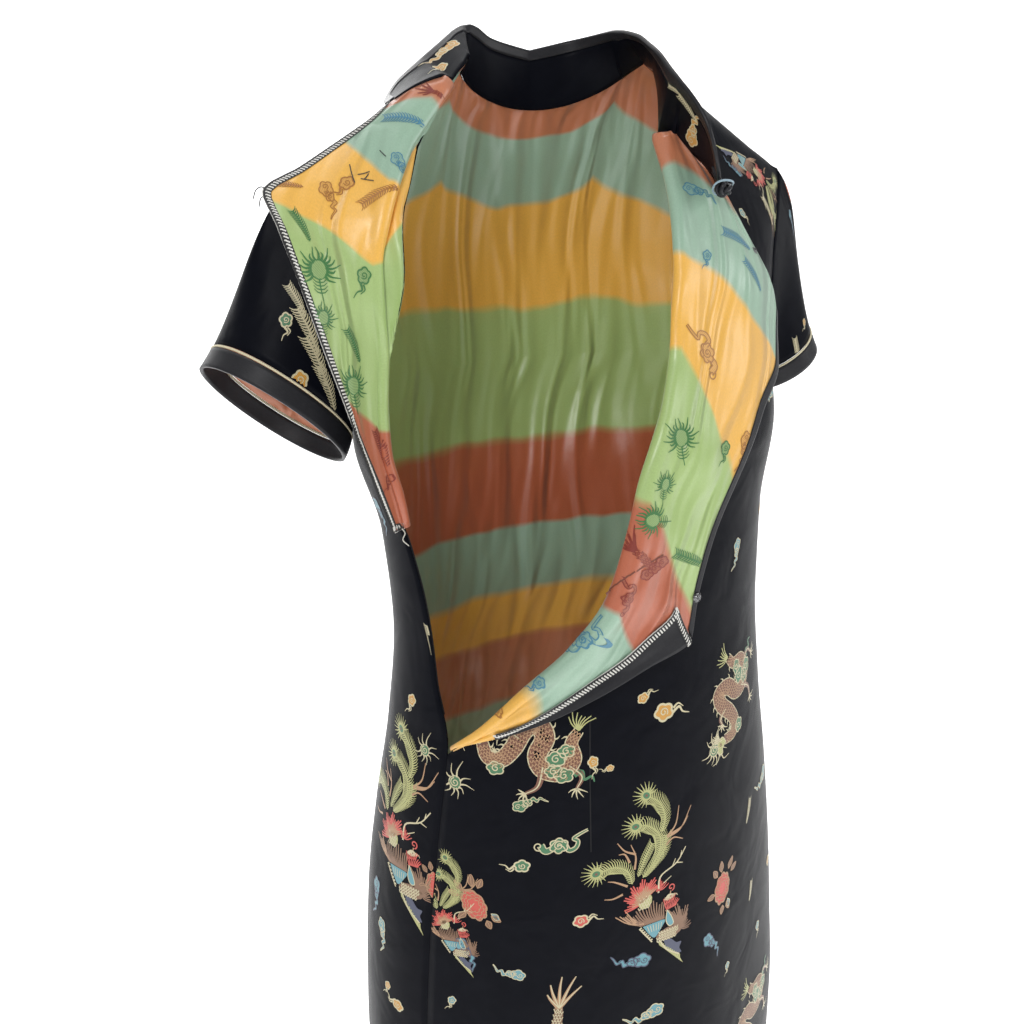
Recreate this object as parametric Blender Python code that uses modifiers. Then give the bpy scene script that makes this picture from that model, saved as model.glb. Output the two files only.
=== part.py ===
"""Cheongsam dress, worn and unfastened, with its right side folded open.

The dress is a set of cloth walls on one body form.  A point of the form is found from
its bearing round the body (degrees from the centre front, positive to the wearer's
left) and its height.  Each cut piece is an open sheet of such points, given its
thickness by Solidify.  The origin lies midway between the two neck ends of the
shoulder seams; the wearer faces -Y, +X is the wearer's left, +Z is up.
"""
import math

import bmesh
import bpy
import numpy as np
from mathutils import Vector

CLOTH = 0.0012
COLLAR_CLOTH = 0.0016
FACING_CLOTH = 0.0010
BINDING_CLOTH = 0.0024
SEAM_GAP = 0.0003
SHOULDER_GAP = 0.0005
TIP_GAP = 0.0011
ARMPIT_GAP = 0.0012
BINDING_GAP = 0.0012
CORNER_GAP = 0.0036
SLEEVE_GAP = 0.0005
BINDING_WIDTH = 0.008
WELD = 0.00002

HEM_Z = -1.06
SLIT_TOP_Z = -0.82
SLIT_SPREAD = 0.010
OPENING_FOOT_Z = -0.478
ARMPIT_Z = -0.226
NECK_X = 0.072
SHOULDER_X = 0.199
SHOULDER_DROP = 0.078
BACK_NECK_Z = -0.030
SHOULDER_ROUND_FRONT = 0.16
SHOULDER_ROUND_BACK = 0.14
SHOULDER_TIP_SHARE = 0.02
SKIRT_FOLD_TOP_Z = -0.60
SKIRT_FOLD_RUN = 0.40
# skirt folds: depth, how many round the body, degrees that they are turned by
SKIRT_FOLDS = ((0.0035, 5, 40.0), (0.0025, 8, -20.0))

SKIRT_HEIGHTS = (HEM_Z, -0.98, -0.90, SLIT_TOP_Z, -0.74, -0.67, -0.61, -0.56, -0.515)
BODICE_HEIGHTS = (OPENING_FOOT_Z, -0.460, -0.443, -0.427, -0.399, -0.363, -0.338,
                  -0.312, -0.281, -0.256, ARMPIT_Z)
YOKE_ROWS = 9
WORN_COLUMNS = 20
UNDER_COLUMNS = 8
BACK_COLUMNS = 28
SEAM_COLUMNS = {"front": 14, "under": 6, "back": 9}
ROLL_STEPS = 4
FLAP_COLUMNS = 9

# body form: height, half width, front depth, back depth, centre y
BODY = (
    (-0.060, 0.204, 0.062, 0.078, -0.004),
    (-0.100, 0.196, 0.084, 0.092, -0.008),
    (-0.150, 0.181, 0.101, 0.101, -0.011),
    (-0.200, 0.170, 0.112, 0.100, -0.013),
    (-0.260, 0.173, 0.124, 0.098, -0.016),
    (-0.330, 0.158, 0.116, 0.092, -0.024),
    (-0.400, 0.155, 0.109, 0.092, -0.030),
    (-0.480, 0.162, 0.115, 0.106, -0.028),
    (-0.560, 0.175, 0.122, 0.121, -0.024),
    (-0.640, 0.186, 0.128, 0.128, -0.020),
    (-0.720, 0.193, 0.130, 0.130, -0.019),
    (-0.800, 0.197, 0.131, 0.131, -0.020),
    (-0.950, 0.194, 0.129, 0.129, -0.020),
    (-1.060, 0.190, 0.127, 0.127, -0.020),
)

# front flap, turned out to the wearer's left: height of the fold, bearing of the fold,
# height and bearing of the free edge, radius of the rolled fold, lift of the free edge,
# extra lift half way across
FRONT_FLAP = (
    (-0.478, -58.9, -0.473, -56.3, 0.0020, 0.0030, 0.000),
    (-0.460, -49.7, -0.466, -47.0, 0.0035, 0.0045, 0.000),
    (-0.427, -36.8, -0.451, -31.2, 0.0055, 0.0065, -0.001),
    (-0.399, -25.0, -0.434, -16.5, 0.0075, 0.0075, -0.003),
    (-0.363, -14.5, -0.418, -3.4, 0.0080, 0.0080, -0.004),
    (-0.312, -8.0, -0.403, 10.0, 0.0070, 0.0090, -0.003),
    (-0.281, -5.1, -0.374, 11.2, 0.0060, 0.0100, -0.001),
    (-0.256, -1.7, -0.352, 13.1, 0.0050, 0.0100, 0.000),
    (-0.226, 3.2, -0.324, 16.6, 0.0040, 0.0100, 0.001),
    (-0.191, 7.1, -0.288, 23.0, 0.0040, 0.0100, 0.002),
    (-0.165, 8.4, -0.247, 33.2, 0.0040, 0.0100, 0.003),
    (-0.137, 10.4, -0.221, 46.7, 0.0040, 0.0100, 0.003),
    (-0.101, 12.3, -0.187, 50.4, 0.0050, 0.0090, 0.003),
    (-0.075, 13.5, -0.146, 36.6, 0.0060, 0.0090, 0.003),
    (-0.056, 13.8, -0.108, 24.9, 0.0080, 0.0100, 0.002),
)
FLAP_CORNER_Z = -0.312
CORNER_GAP_Z = -0.130

# underlap, turned out over the right shoulder and sleeve: height and bearing of the
# fold, then x, y and z of the free edge, radius of the rolled fold, extra lift half way
UNDERLAP_FLAP = (
    (-0.312, -70.0, -0.166, -0.068, -0.313, 0.0025, 0.001),
    (-0.281, -67.5, -0.180, -0.075, -0.273, 0.0035, 0.002),
    (-0.256, -68.5, -0.195, -0.078, -0.229, 0.0040, 0.003),
    (-0.226, -69.0, -0.205, -0.074, -0.192, 0.0040, 0.004),
    (-0.187, -66.5, -0.217, -0.066, -0.143, 0.0040, 0.005),
    (-0.156, -61.8, -0.224, -0.056, -0.113, 0.0040, 0.006),
    (-0.133, -58.0, -0.228, -0.034, -0.089, 0.0040, 0.004),
    (-0.110, -51.4, -0.199, -0.023, -0.073, 0.0045, 0.003),
    (-0.087, -45.1, -0.167, -0.015, -0.055, 0.0050, 0.003),
    (-0.054, -35.6, -0.147, -0.013, -0.043, 0.0050, 0.003),
    (-0.022, -26.0, -0.134, -0.009, -0.034, 0.0050, 0.003),
)

# right side line, where the back meets the front and the underlap: height, bearing
RIGHT_SIDE = (
    (HEM_Z, -60.0),
    (OPENING_FOOT_Z, -60.0),
    (-0.427, -66.0),
    (-0.363, -70.0),
    (-0.312, -75.5),
    (-0.281, -80.0),
    (-0.256, -84.5),
    (ARMPIT_Z, -90.0),
)
LEFT_SIDE = 90.0
ARMHOLE_SCOOP_FRONT = 22.0
ARMHOLE_SCOOP_BACK = 16.0

# cap sleeves: hem centre x, y, z, outward and forward tilt of its axis, hem half
# breadth and half depth
SLEEVES = {
    "right": (-0.228, -0.005, -0.236, 0.88, 0.29, 0.058, 0.052),
    "left": (0.216, 0.018, -0.240, 0.60, -0.02, 0.042, 0.050),
}
SLEEVE_ROWS = 6
SLEEVE_BOW = 0.34
SLEEVE_SPRING = 0.6
KNOT_RADIUS = 0.0065
KNOT_HEIGHT = 0.016
STUD_RADIUS = 0.0036
STUD_RIM = 0.0009
STUD_BOSS = 0.55
STUD_TOP = 0.40
BLACK = (0.012, 0.013, 0.018)
BROCADE_ROUGHNESS = 0.42
CUFF_WIDTH = 0.015
PIPING_RADIUS = 0.0009

COLLAR_HEIGHT = 0.042
COLLAR_ROWS = 3
COLLAR_CORNER = 0.022
CORNER_STEPS = 4
COLLAR_STEP = 0.0011
BINDING_FOOT = 0.003
# share of the neck seam from its right end, distance of the collar's foot from the seam
COLLAR_RISE = (
    (0.00, 0.0012),
    (0.10, 0.0016),
    (0.15, 0.0042),
    (0.20, 0.0014),
    (0.88, 0.0014),
    (0.92, 0.0032),
    (0.96, 0.0038),
    (1.00, 0.0034),
)
# share of the way from the centre back to a front end, then x, y and z of the rim
COLLAR_RIM_LEFT = (
    (0.00, 0.002, 0.050, 0.012),
    (0.15, 0.033, 0.040, 0.019),
    (0.30, 0.048, 0.005, 0.022),
    (0.42, 0.049, -0.031, 0.015),
    (0.50, 0.048, -0.049, 0.007),
    (0.58, 0.047, -0.063, 0.000),
    (0.66, 0.047, -0.076, -0.010),
    (0.74, 0.048, -0.088, -0.020),
    (0.82, 0.051, -0.099, -0.031),
    (0.90, 0.055, -0.110, -0.046),
    (1.00, 0.059, -0.121, -0.072),
)
COLLAR_RIM_RIGHT = (
    (0.00, 0.002, 0.050, 0.012),
    (0.20, -0.033, 0.044, 0.019),
    (0.32, -0.046, 0.039, 0.025),
    (0.42, -0.052, 0.037, 0.026),
    (0.53, -0.063, 0.033, 0.022),
    (0.65, -0.081, 0.025, 0.010),
    (0.76, -0.099, 0.021, -0.003),
    (0.88, -0.113, 0.024, -0.015),
    (1.00, -0.122, 0.032, -0.027),
)

for leftover in list(bpy.data.objects):
    bpy.data.objects.remove(leftover, do_unlink=True)

dress = bpy.data.collections.new("cheongsam dress")
bpy.context.scene.collection.children.link(dress)


def make_material(name, colour, roughness, metallic=0.0):
    """A Principled surface with the colour, roughness and metal value of one part."""
    material = bpy.data.materials.new(name)
    material.use_nodes = True
    shader = material.node_tree.nodes["Principled BSDF"]
    shader.inputs["Base Color"].default_value = (*colour, 1.0)
    shader.inputs["Roughness"].default_value = roughness
    shader.inputs["Metallic"].default_value = metallic
    return material


def slopes(xs, ys):
    """Slopes of a curve through a table that never overshoots its rows."""
    steps = np.diff(ys, axis=0) / np.diff(xs)[:, None]
    inner = np.zeros_like(ys)
    same_way = steps[:-1] * steps[1:] > 0
    total = np.where(same_way, steps[:-1] + steps[1:], 1.0)
    inner[1:-1] = np.where(same_way, 2 * steps[:-1] * steps[1:] / total, 0.0)
    inner[0] = steps[0]
    inner[-1] = steps[-1]
    return inner


def smooth_table(table):
    """A function that reads a table smoothly, by its first column."""
    rows = np.array(sorted(table), float)
    xs = rows[:, 0]
    ys = rows[:, 1:]
    turn = slopes(xs, ys)

    def read(x):
        x = min(max(x, xs[0]), xs[-1])
        i = min(int(np.searchsorted(xs, x, side="right")) - 1, len(xs) - 2)
        width = xs[i + 1] - xs[i]
        t = (x - xs[i]) / width
        return (
            ys[i] * (1 + 2 * t) * (1 - t) ** 2
            + turn[i] * width * t * (1 - t) ** 2
            + ys[i + 1] * t * t * (3 - 2 * t)
            - turn[i + 1] * width * t * t * (1 - t)
        )

    return read


body_at = smooth_table(BODY)
front_flap_at = smooth_table(FRONT_FLAP)
underlap_at = smooth_table(UNDERLAP_FLAP)
right_side_at = smooth_table(RIGHT_SIDE)
collar_rise_at = smooth_table(COLLAR_RISE)


def unit(vector):
    return vector / np.linalg.norm(vector)


def ridge_height(x):
    """Height of the shoulder seam at a distance from the middle."""
    reach = max(abs(x) - NECK_X, 0.0)
    return -reach / (SHOULDER_X - NECK_X) * SHOULDER_DROP


def body_point(bearing, z):
    """A point of the cloth's face as worn."""
    half, front, back, centre = body_at(min(z, BODY[0][0]))
    angle = math.radians(bearing)
    facing = math.cos(angle)
    x = half * math.sin(angle)
    depth = front if facing > 0 else back
    round_over = SHOULDER_ROUND_FRONT if facing > 0 else SHOULDER_ROUND_BACK
    below = min(max(ridge_height(x) - z, 0.0), round_over)
    roundness = math.sqrt(max(0.0, 1 - (1 - below / round_over) ** 2))
    skirt = min(max((SKIRT_FOLD_TOP_Z - z) / SKIRT_FOLD_RUN, 0.0), 1.0)
    fold = skirt * sum(
        deep * math.sin(math.radians(count * bearing + turned))
        for deep, count, turned in SKIRT_FOLDS
    )
    y = centre - depth * facing * roundness
    return np.array([x, y, z]) + fold * np.array([math.sin(angle), -facing, 0.0])


def outward(bearing, z):
    """The direction that the cloth's face looks in."""
    step = 0.2
    rise = 0.0004
    across = body_point(bearing + step, z) - body_point(bearing - step, z)
    along = body_point(bearing, z + rise) - body_point(bearing, z - rise)
    return unit(np.cross(across, along))


def lifted(bearing, z, lift):
    return body_point(bearing, z) + outward(bearing, z) * lift


def nudge_bearing(bearing, z, distance):
    """The bearing a small distance further round the body."""
    per_degree = np.linalg.norm(body_point(bearing + 0.5, z) - body_point(bearing - 0.5, z))
    return bearing + distance / per_degree


def sheet_mesh(rows):
    """An open grid mesh through rows of points, made from Blender's own grid."""
    grid = bmesh.new()
    across = len(rows[0])
    bmesh.ops.create_grid(grid, x_segments=across - 1, y_segments=len(rows) - 1, size=1.0)
    grid.verts.ensure_lookup_table()
    for vertex, point in zip(grid.verts, (p for row in rows for p in row)):
        vertex.co = Vector(point)
    return grid


def add_sheet(name, material, grids, thickness, face_up=True, offset=-1.0):
    """Join grids, weld their shared edge and give the sheet its thickness."""
    joined = bmesh.new()
    for grid in grids:
        part = bpy.data.meshes.new("part")
        grid.to_mesh(part)
        grid.free()
        joined.from_mesh(part)
        bpy.data.meshes.remove(part)
    bmesh.ops.remove_doubles(joined, verts=joined.verts, dist=WELD)
    if not face_up:
        bmesh.ops.reverse_faces(joined, faces=joined.faces)
    mesh = bpy.data.meshes.new(name)
    joined.to_mesh(mesh)
    joined.free()
    mesh.materials.append(material)
    mesh.shade_smooth()
    piece = bpy.data.objects.new(name, mesh)
    dress.objects.link(piece)
    wall = piece.modifiers.new("thickness", "SOLIDIFY")
    wall.thickness = thickness
    wall.offset = offset
    wall.use_even_offset = False
    wall.use_rim = True
    return piece


def armhole(side, front, share):
    """Bearing and height on an armhole, from the armpit (0) to the shoulder tip (1)."""
    tip = math.degrees(math.asin(SHOULDER_X / body_at(-SHOULDER_DROP)[0]))
    scoop = ARMHOLE_SCOOP_FRONT if front else ARMHOLE_SCOOP_BACK
    rise = math.sin(math.pi / 2 * share)
    bearing = 90 + (tip - 90) * rise - scoop * math.sin(math.pi * rise)
    if not front:
        bearing = 180 - bearing
    z = ARMPIT_Z + (-SHOULDER_DROP - ARMPIT_Z) * rise
    return np.array([side * bearing, z])


def shoulder_line(side, front, share):
    """Bearing and height on a shoulder seam, from its tip (0) to the neck (1)."""
    x = SHOULDER_X + (NECK_X - SHOULDER_X) * share
    z = ridge_height(x)
    bearing = math.degrees(math.asin(x / body_at(BODY[0][0])[0]))
    if share < SHOULDER_TIP_SHARE:
        bearing = abs(armhole(1, True, 1.0)[0])
    if not front:
        bearing = 180 - bearing
    return np.array([side * bearing, z])


def yoke_point(bottom, top, near, far, across, share):
    """Blend four boundary lines of the cloth above the armpit."""
    rise = math.sin(math.pi / 2 * share)
    blend = (1 - rise) * bottom(across) + rise * top(across)
    near_gap = near(share) - ((1 - rise) * bottom(0.0) + rise * top(0.0))
    far_gap = far(share) - ((1 - rise) * bottom(1.0) + rise * top(1.0))
    return blend + (1 - across) * near_gap + across * far_gap


def half_front_rows(side, flap_at, heights, top_z, side_line):
    """Rows of worn cloth from the side seam or armhole to the start of the fold."""
    rows = []
    columns = WORN_COLUMNS if side > 0 else UNDER_COLUMNS
    seam_share = SEAM_COLUMNS["front" if side > 0 else "under"] / columns
    for z in heights:
        start = side_line(z)
        end = fold_frame(side, flap_at, z)[3]
        rows.append([(start + (end - start) * j / columns, z) for j in range(columns + 1)])
    fold_end = lambda share: np.array(fold_end_at(side, flap_at, share, top_z))
    bottom_start = np.array([side * 90.0, ARMPIT_Z])
    bottom = lambda s: bottom_start + (fold_end(0.0) - bottom_start) * s
    neck = np.array(shoulder_line(side, True, 1.0))

    def top(s):
        if s < seam_share:
            return shoulder_line(side, True, s / seam_share)
        return neck + (fold_end(1.0) - neck) * (s - seam_share) / (1 - seam_share)

    near = lambda share: armhole(side, True, share)
    for k in range(1, YOKE_ROWS + 1):
        share = k / YOKE_ROWS
        rows.append([
            tuple(yoke_point(bottom, top, near, fold_end, j / columns, share))
            for j in range(columns + 1)
        ])
    return rows


def fold_height(share, top_z):
    return ARMPIT_Z + (top_z - ARMPIT_Z) * share


def fold_frame(side, flap_at, z):
    """Where the cloth turns back at one height: place, turn direction and radius."""
    data = flap_at(z)
    bearing = data[0]
    radius = data[3] if side > 0 else data[4]
    higher = min(z + 0.004, FOLD_TOP[side])
    lower = max(z - 0.004, FOLD_FOOT[side])
    line = body_point(flap_at(higher)[0], higher) - body_point(flap_at(lower)[0], lower)
    face = outward(bearing, z)
    turn = unit(np.cross(face, line))
    round_body = body_point(bearing - side, z) - body_point(bearing, z)
    if np.dot(turn, round_body) < 0:
        turn = -turn
    level = np.array([round_body[0], round_body[1], 0.0])
    slip = np.dot(turn, unit(level))
    start = nudge_bearing(bearing, z, side * radius / max(slip, 0.5))
    return bearing, radius, turn, start, face


def fold_end_at(side, flap_at, share, top_z):
    z = fold_height(share, top_z)
    return fold_frame(side, flap_at, z)[3], z


FOLD_TOP = {1: FRONT_FLAP[-1][0], -1: UNDERLAP_FLAP[-1][0]}
FOLD_FOOT = {1: FRONT_FLAP[0][0], -1: UNDERLAP_FLAP[0][0]}


def roll_points(side, flap_at, z):
    """The rolled fold: half a turn from the worn cloth to the cloth turned out."""
    bearing, radius, turn, start, face = fold_frame(side, flap_at, z)
    foot = body_point(start, z)
    centre = foot + face * radius
    points = []
    for k in range(ROLL_STEPS + 1):
        angle = math.pi * k / ROLL_STEPS
        points.append(centre + radius * (math.sin(angle) * turn - math.cos(angle) * face))
    points[0] = foot
    return points


def front_flap_point(z, across):
    """A point of the front flap's face, from the fold (0) to its free edge (1)."""
    bearing, edge_z, edge_bearing, radius, edge_lift, belly = front_flap_at(z)
    rolled = roll_points(1, front_flap_at, z)[-1]
    lift = 2 * radius + (edge_lift - 2 * radius) * across
    lift += belly * math.sin(math.pi * across)
    flat_z = z + (edge_z - z) * across
    flat_bearing = bearing + (edge_bearing - bearing) * across
    on_body = lifted(flat_bearing, flat_z, lift)
    from_roll = rolled - lifted(bearing, z, 2 * radius)
    return on_body + from_roll * (1 - across)


def underlap_point(z, across):
    """A point of the underlap's face, from the fold (0) to its free edge (1)."""
    bearing, edge_x, edge_y, edge_z, radius, belly = underlap_at(z)
    rolled = roll_points(-1, underlap_at, z)[-1]
    edge = np.array([edge_x, edge_y, edge_z])
    face = unit(outward(bearing, z) + np.array([0.0, -0.3, 0.4]))
    chord = rolled + (edge - rolled) * across
    return chord + face * belly * math.sin(math.pi * across)


def flap_width(point_at, z):
    steps = [point_at(z, k / 6) for k in range(7)]
    return sum(np.linalg.norm(b - a) for a, b in zip(steps, steps[1:]))


def front_cloth_end(z):
    """Share of the front flap's width that the cloth covers before its binding."""
    if z < FLAP_CORNER_Z - 0.001:
        return 1.0
    gap = CORNER_GAP if z > CORNER_GAP_Z else BINDING_GAP
    return 1.0 - (BINDING_WIDTH + gap) / flap_width(front_flap_point, z)


def flap_rows(side, flap_at, point_at, cloth_end, heights, columns):
    rows = []
    for z in heights:
        row = roll_points(side, flap_at, z)
        end = cloth_end(z)
        row += [point_at(z, end * j / columns) for j in range(1, columns + 1)]
        rows.append(row)
    return rows


def yoke_heights(top_z):
    return [fold_height(k / YOKE_ROWS, top_z) for k in range(1, YOKE_ROWS + 1)]


def seam_shift(rows, shift_last, seam_columns):
    """Hold the shoulder seam's points back from the seam line, most at its tip."""
    for j in range(seam_columns):
        more = TIP_GAP / SHOULDER_GAP if j == 0 else 1.0
        rows[-1][j] = rows[-1][j] + np.array([0.0, shift_last * more, 0.0])
    return rows


def slit_inset(z):
    """How far a side edge stands back from the side line."""
    if z > ARMPIT_Z - 0.001:
        return ARMPIT_GAP / 2
    if z >= SLIT_TOP_Z:
        return SEAM_GAP / 2
    return SEAM_GAP / 2 + SLIT_SPREAD / 2 * (SLIT_TOP_Z - z) / (SLIT_TOP_Z - HEM_Z)


def build_front_panel(material):
    """Front with its overlap flap: side seam and armhole at the left, fold at the right."""
    skirt = []
    for z in SKIRT_HEIGHTS:
        start = nudge_bearing(LEFT_SIDE, z, -slit_inset(z))
        end = nudge_bearing(right_side_at(z)[0], z, slit_inset(z))
        skirt.append([(start + (end - start) * j / WORN_COLUMNS, z) for j in range(WORN_COLUMNS + 1)])
    top_z = FRONT_FLAP[-1][0]
    side_line = lambda z: nudge_bearing(LEFT_SIDE, z, -slit_inset(z))
    worn = half_front_rows(1, front_flap_at, BODICE_HEIGHTS, top_z, side_line)
    rows = [[body_point(b, z) for b, z in row] for row in skirt + worn]
    seam_shift(rows, -SHOULDER_GAP, SEAM_COLUMNS["front"] + 1)
    heights = list(BODICE_HEIGHTS) + yoke_heights(top_z)
    flap = flap_rows(1, front_flap_at, front_flap_point, front_cloth_end, heights, FLAP_COLUMNS)
    for row, turned in zip(rows[len(SKIRT_HEIGHTS):], flap):
        row[-1] = turned[0]
    grids = [sheet_mesh(rows), sheet_mesh(flap)]
    add_sheet("front_panel", material, grids, CLOTH, face_up=False)
    return rows, flap


def build_underlap(material):
    """Under front of the right side, turned out over the shoulder."""
    heights = [z for z in BODICE_HEIGHTS if z >= UNDERLAP_FLAP[0][0]]
    top_z = UNDERLAP_FLAP[-1][0]
    side_line = lambda z: nudge_bearing(right_side_at(z)[0], z, slit_inset(z))
    worn = half_front_rows(-1, underlap_at, heights, top_z, side_line)
    rows = [[body_point(b, z) for b, z in row] for row in worn]
    seam_shift(rows, -SHOULDER_GAP, SEAM_COLUMNS["under"] + 1)
    whole = lambda z: 1.0
    flap = flap_rows(-1, underlap_at, underlap_point, whole, heights + yoke_heights(top_z), FLAP_COLUMNS)
    for row, turned in zip(rows, flap):
        row[-1] = turned[0]
    grids = [sheet_mesh(rows), sheet_mesh(flap)]
    add_sheet("underlap", material, grids, CLOTH)
    return rows, flap


def build_back_panel(material):
    """Back in one piece, from the left side round to the right side line."""
    columns = BACK_COLUMNS
    rows = []
    for z in SKIRT_HEIGHTS + BODICE_HEIGHTS:
        start = nudge_bearing(LEFT_SIDE, z, slit_inset(z))
        end = nudge_bearing(360 + right_side_at(z)[0], z, -slit_inset(z))
        rows.append([(start + (end - start) * j / columns, z) for j in range(columns + 1)])
    seam_share = SEAM_COLUMNS["back"] / columns
    bottom = lambda s: np.array([90 + 180 * s, ARMPIT_Z])
    neck_depth = lambda u: BACK_NECK_Z * math.sin(math.pi * u) ** 0.6

    def top(s):
        if s <= seam_share:
            return shoulder_line(1, False, s / seam_share)
        if s >= 1 - seam_share:
            place = shoulder_line(1, False, (1 - s) / seam_share)
            return np.array([360 - place[0], place[1]])
        u = (s - seam_share) / (1 - 2 * seam_share)
        neck = shoulder_line(1, False, 1.0)[0]
        return np.array([neck + (360 - 2 * neck) * u, neck_depth(u)])

    near = lambda share: armhole(1, False, share)

    def far(share):
        place = armhole(1, False, share)
        return np.array([360 - place[0], place[1]])

    for k in range(1, YOKE_ROWS + 1):
        share = k / YOKE_ROWS
        rows.append([
            tuple(yoke_point(bottom, top, near, far, j / columns, share))
            for j in range(columns + 1)
        ])
    points = [[body_point(b, z) for b, z in row] for row in rows]
    seam_shift(points, SHOULDER_GAP, SEAM_COLUMNS["back"] + 1)
    points[-1] = points[-1][::-1]
    seam_shift(points, SHOULDER_GAP, SEAM_COLUMNS["back"] + 1)
    points[-1] = points[-1][::-1]
    add_sheet("back_panel", material, [sheet_mesh(points)], CLOTH)
    return points


def grid_normals(rows):
    """Face directions of a grid of points, one for each point."""
    points = np.array(rows)
    across = np.gradient(points, axis=1)
    along = np.gradient(points, axis=0)
    normals = np.cross(across, along)
    return normals / np.linalg.norm(normals, axis=2)[:, :, None]


def moved_out(rows, distance):
    return np.array(rows) + grid_normals(rows) * distance


def armhole_ring(side, front_side, back_side):
    """Closed armhole: its points, the way the cloth runs off it, and its face."""
    first = -YOKE_ROWS - 1
    ring = []
    for rows, edge, inner, order in (
        (front_side, 0, 1, range(-1, first - 1, -1)),
        (back_side, *((0, 1) if side > 0 else (-1, -2)), range(first, 0)),
    ):
        for i in order:
            ring.append((rows[i][edge], unit(rows[i][edge] - rows[i][inner])))
    tip = ((ring[0][0] + ring[-1][0]) / 2, unit(ring[0][1] + ring[-1][1]))
    foot = ((ring[YOKE_ROWS][0] + ring[YOKE_ROWS + 1][0]) / 2, np.array([0.0, 0.0, 1.0]))
    joined = [tip] + ring[1:YOKE_ROWS] + [foot] + ring[YOKE_ROWS + 2:-1]
    points = [p for p, _ in joined]
    count = len(points)
    placed = []
    for k, (point, run) in enumerate(joined):
        along = points[(k + 1) % count] - points[k - 1]
        face = unit(np.cross(run, along)) * -side
        placed.append((point + SLEEVE_GAP * (run + face), run))
    return placed


def sleeve_rings(side, name, ring):
    """A function giving the sleeve's ring at each distance back from its hem."""
    x, y, z, out, forward, half_breadth, half_depth = SLEEVES[name]
    centre = np.array([x, y, z])
    axis = unit(np.array([side * out, -forward, -1.0]))
    under = unit(np.cross(axis, [0.0, 1.0, 0.0])) * -side
    front = unit(np.cross(axis, under))
    if front[1] > 0:
        front = -front
    columns = []
    for k, (start, run) in enumerate(ring):
        angle = 2 * math.pi * k / len(ring)
        end = centre - half_breadth * math.cos(angle) * under + half_depth * math.sin(angle) * front
        reach = np.linalg.norm(end - start) * SLEEVE_BOW
        leave = start + unit(axis + SLEEVE_SPRING * run) * reach
        arrive = end - axis * reach
        columns.append((start, leave, arrive, end))

    def curve(column, t):
        a, b, c, d = column
        return a * (1 - t) ** 3 + 3 * b * t * (1 - t) ** 2 + 3 * c * t * t * (1 - t) + d * t ** 3

    def length(column):
        steps = [curve(column, k / 8) for k in range(9)]
        return sum(np.linalg.norm(b - a) for a, b in zip(steps, steps[1:]))

    def ring_before_hem(distance, share=1.0):
        """Ring at a share of the way from the armhole to a distance above the hem."""
        return [curve(c, (1 - distance / length(c)) * share) for c in columns]

    return ring_before_hem


def closed_rows(rings):
    return [ring + [ring[0]] for ring in rings]


def build_sleeve(side, name, ring, material, binding_material, piping_material):
    """Cap sleeve, with its piping and the bound edge of its hem."""
    ring_at = sleeve_rings(side, name, ring)
    cloth_end = CUFF_WIDTH + 2 * PIPING_RADIUS + 3 * SEAM_GAP
    cloth = [ring_at(cloth_end, k / SLEEVE_ROWS) for k in range(SLEEVE_ROWS + 1)]
    add_sheet(f"sleeve_{name}", material, [sheet_mesh(closed_rows(cloth))], CLOTH,
              face_up=side > 0)
    cuff = [ring_at((CUFF_WIDTH - 2 * SEAM_GAP) * (1 - k / 2)) for k in range(3)]
    add_sheet(f"sleeve_binding_{name}", binding_material, [sheet_mesh(closed_rows(cuff))],
              BINDING_CLOTH, face_up=side > 0, offset=-0.5)
    line = ring_at(CUFF_WIDTH + PIPING_RADIUS + SEAM_GAP / 2)
    curve = bpy.data.curves.new(f"sleeve_piping_{name}", "CURVE")
    curve.dimensions = "3D"
    curve.bevel_depth = PIPING_RADIUS
    curve.bevel_resolution = 1
    spline = curve.splines.new("POLY")
    spline.points.add(len(line) - 1)
    for knot, point in zip(spline.points, line):
        knot.co = (*point, 1.0)
    spline.use_cyclic_u = True
    curve.materials.append(piping_material)
    dress.objects.link(bpy.data.objects.new(curve.name, curve))


def neck_run(rows, columns):
    """Neck points of some columns, each with the way the cloth runs up to it."""
    return [(rows[-1][j], unit(rows[-1][j] - rows[-2][j])) for j in columns]


def neck_line():
    """Neck seam from the right front end, round the back, to the left front end."""
    turned = range(ROLL_STEPS + 1, len(front_turned[-1]))
    behind = range(SEAM_COLUMNS["back"], BACK_COLUMNS + 1 - SEAM_COLUMNS["back"])
    front = range(SEAM_COLUMNS["front"] + 1, WORN_COLUMNS)
    under = range(SEAM_COLUMNS["under"] + 1, UNDER_COLUMNS)
    right = neck_run(under_turned, reversed(turned)) + neck_run(under_rows, reversed(under))
    left = neck_run(front_rows, front) + neck_run(front_turned, turned)
    return right, neck_run(back_rows, reversed(behind)), left


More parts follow.
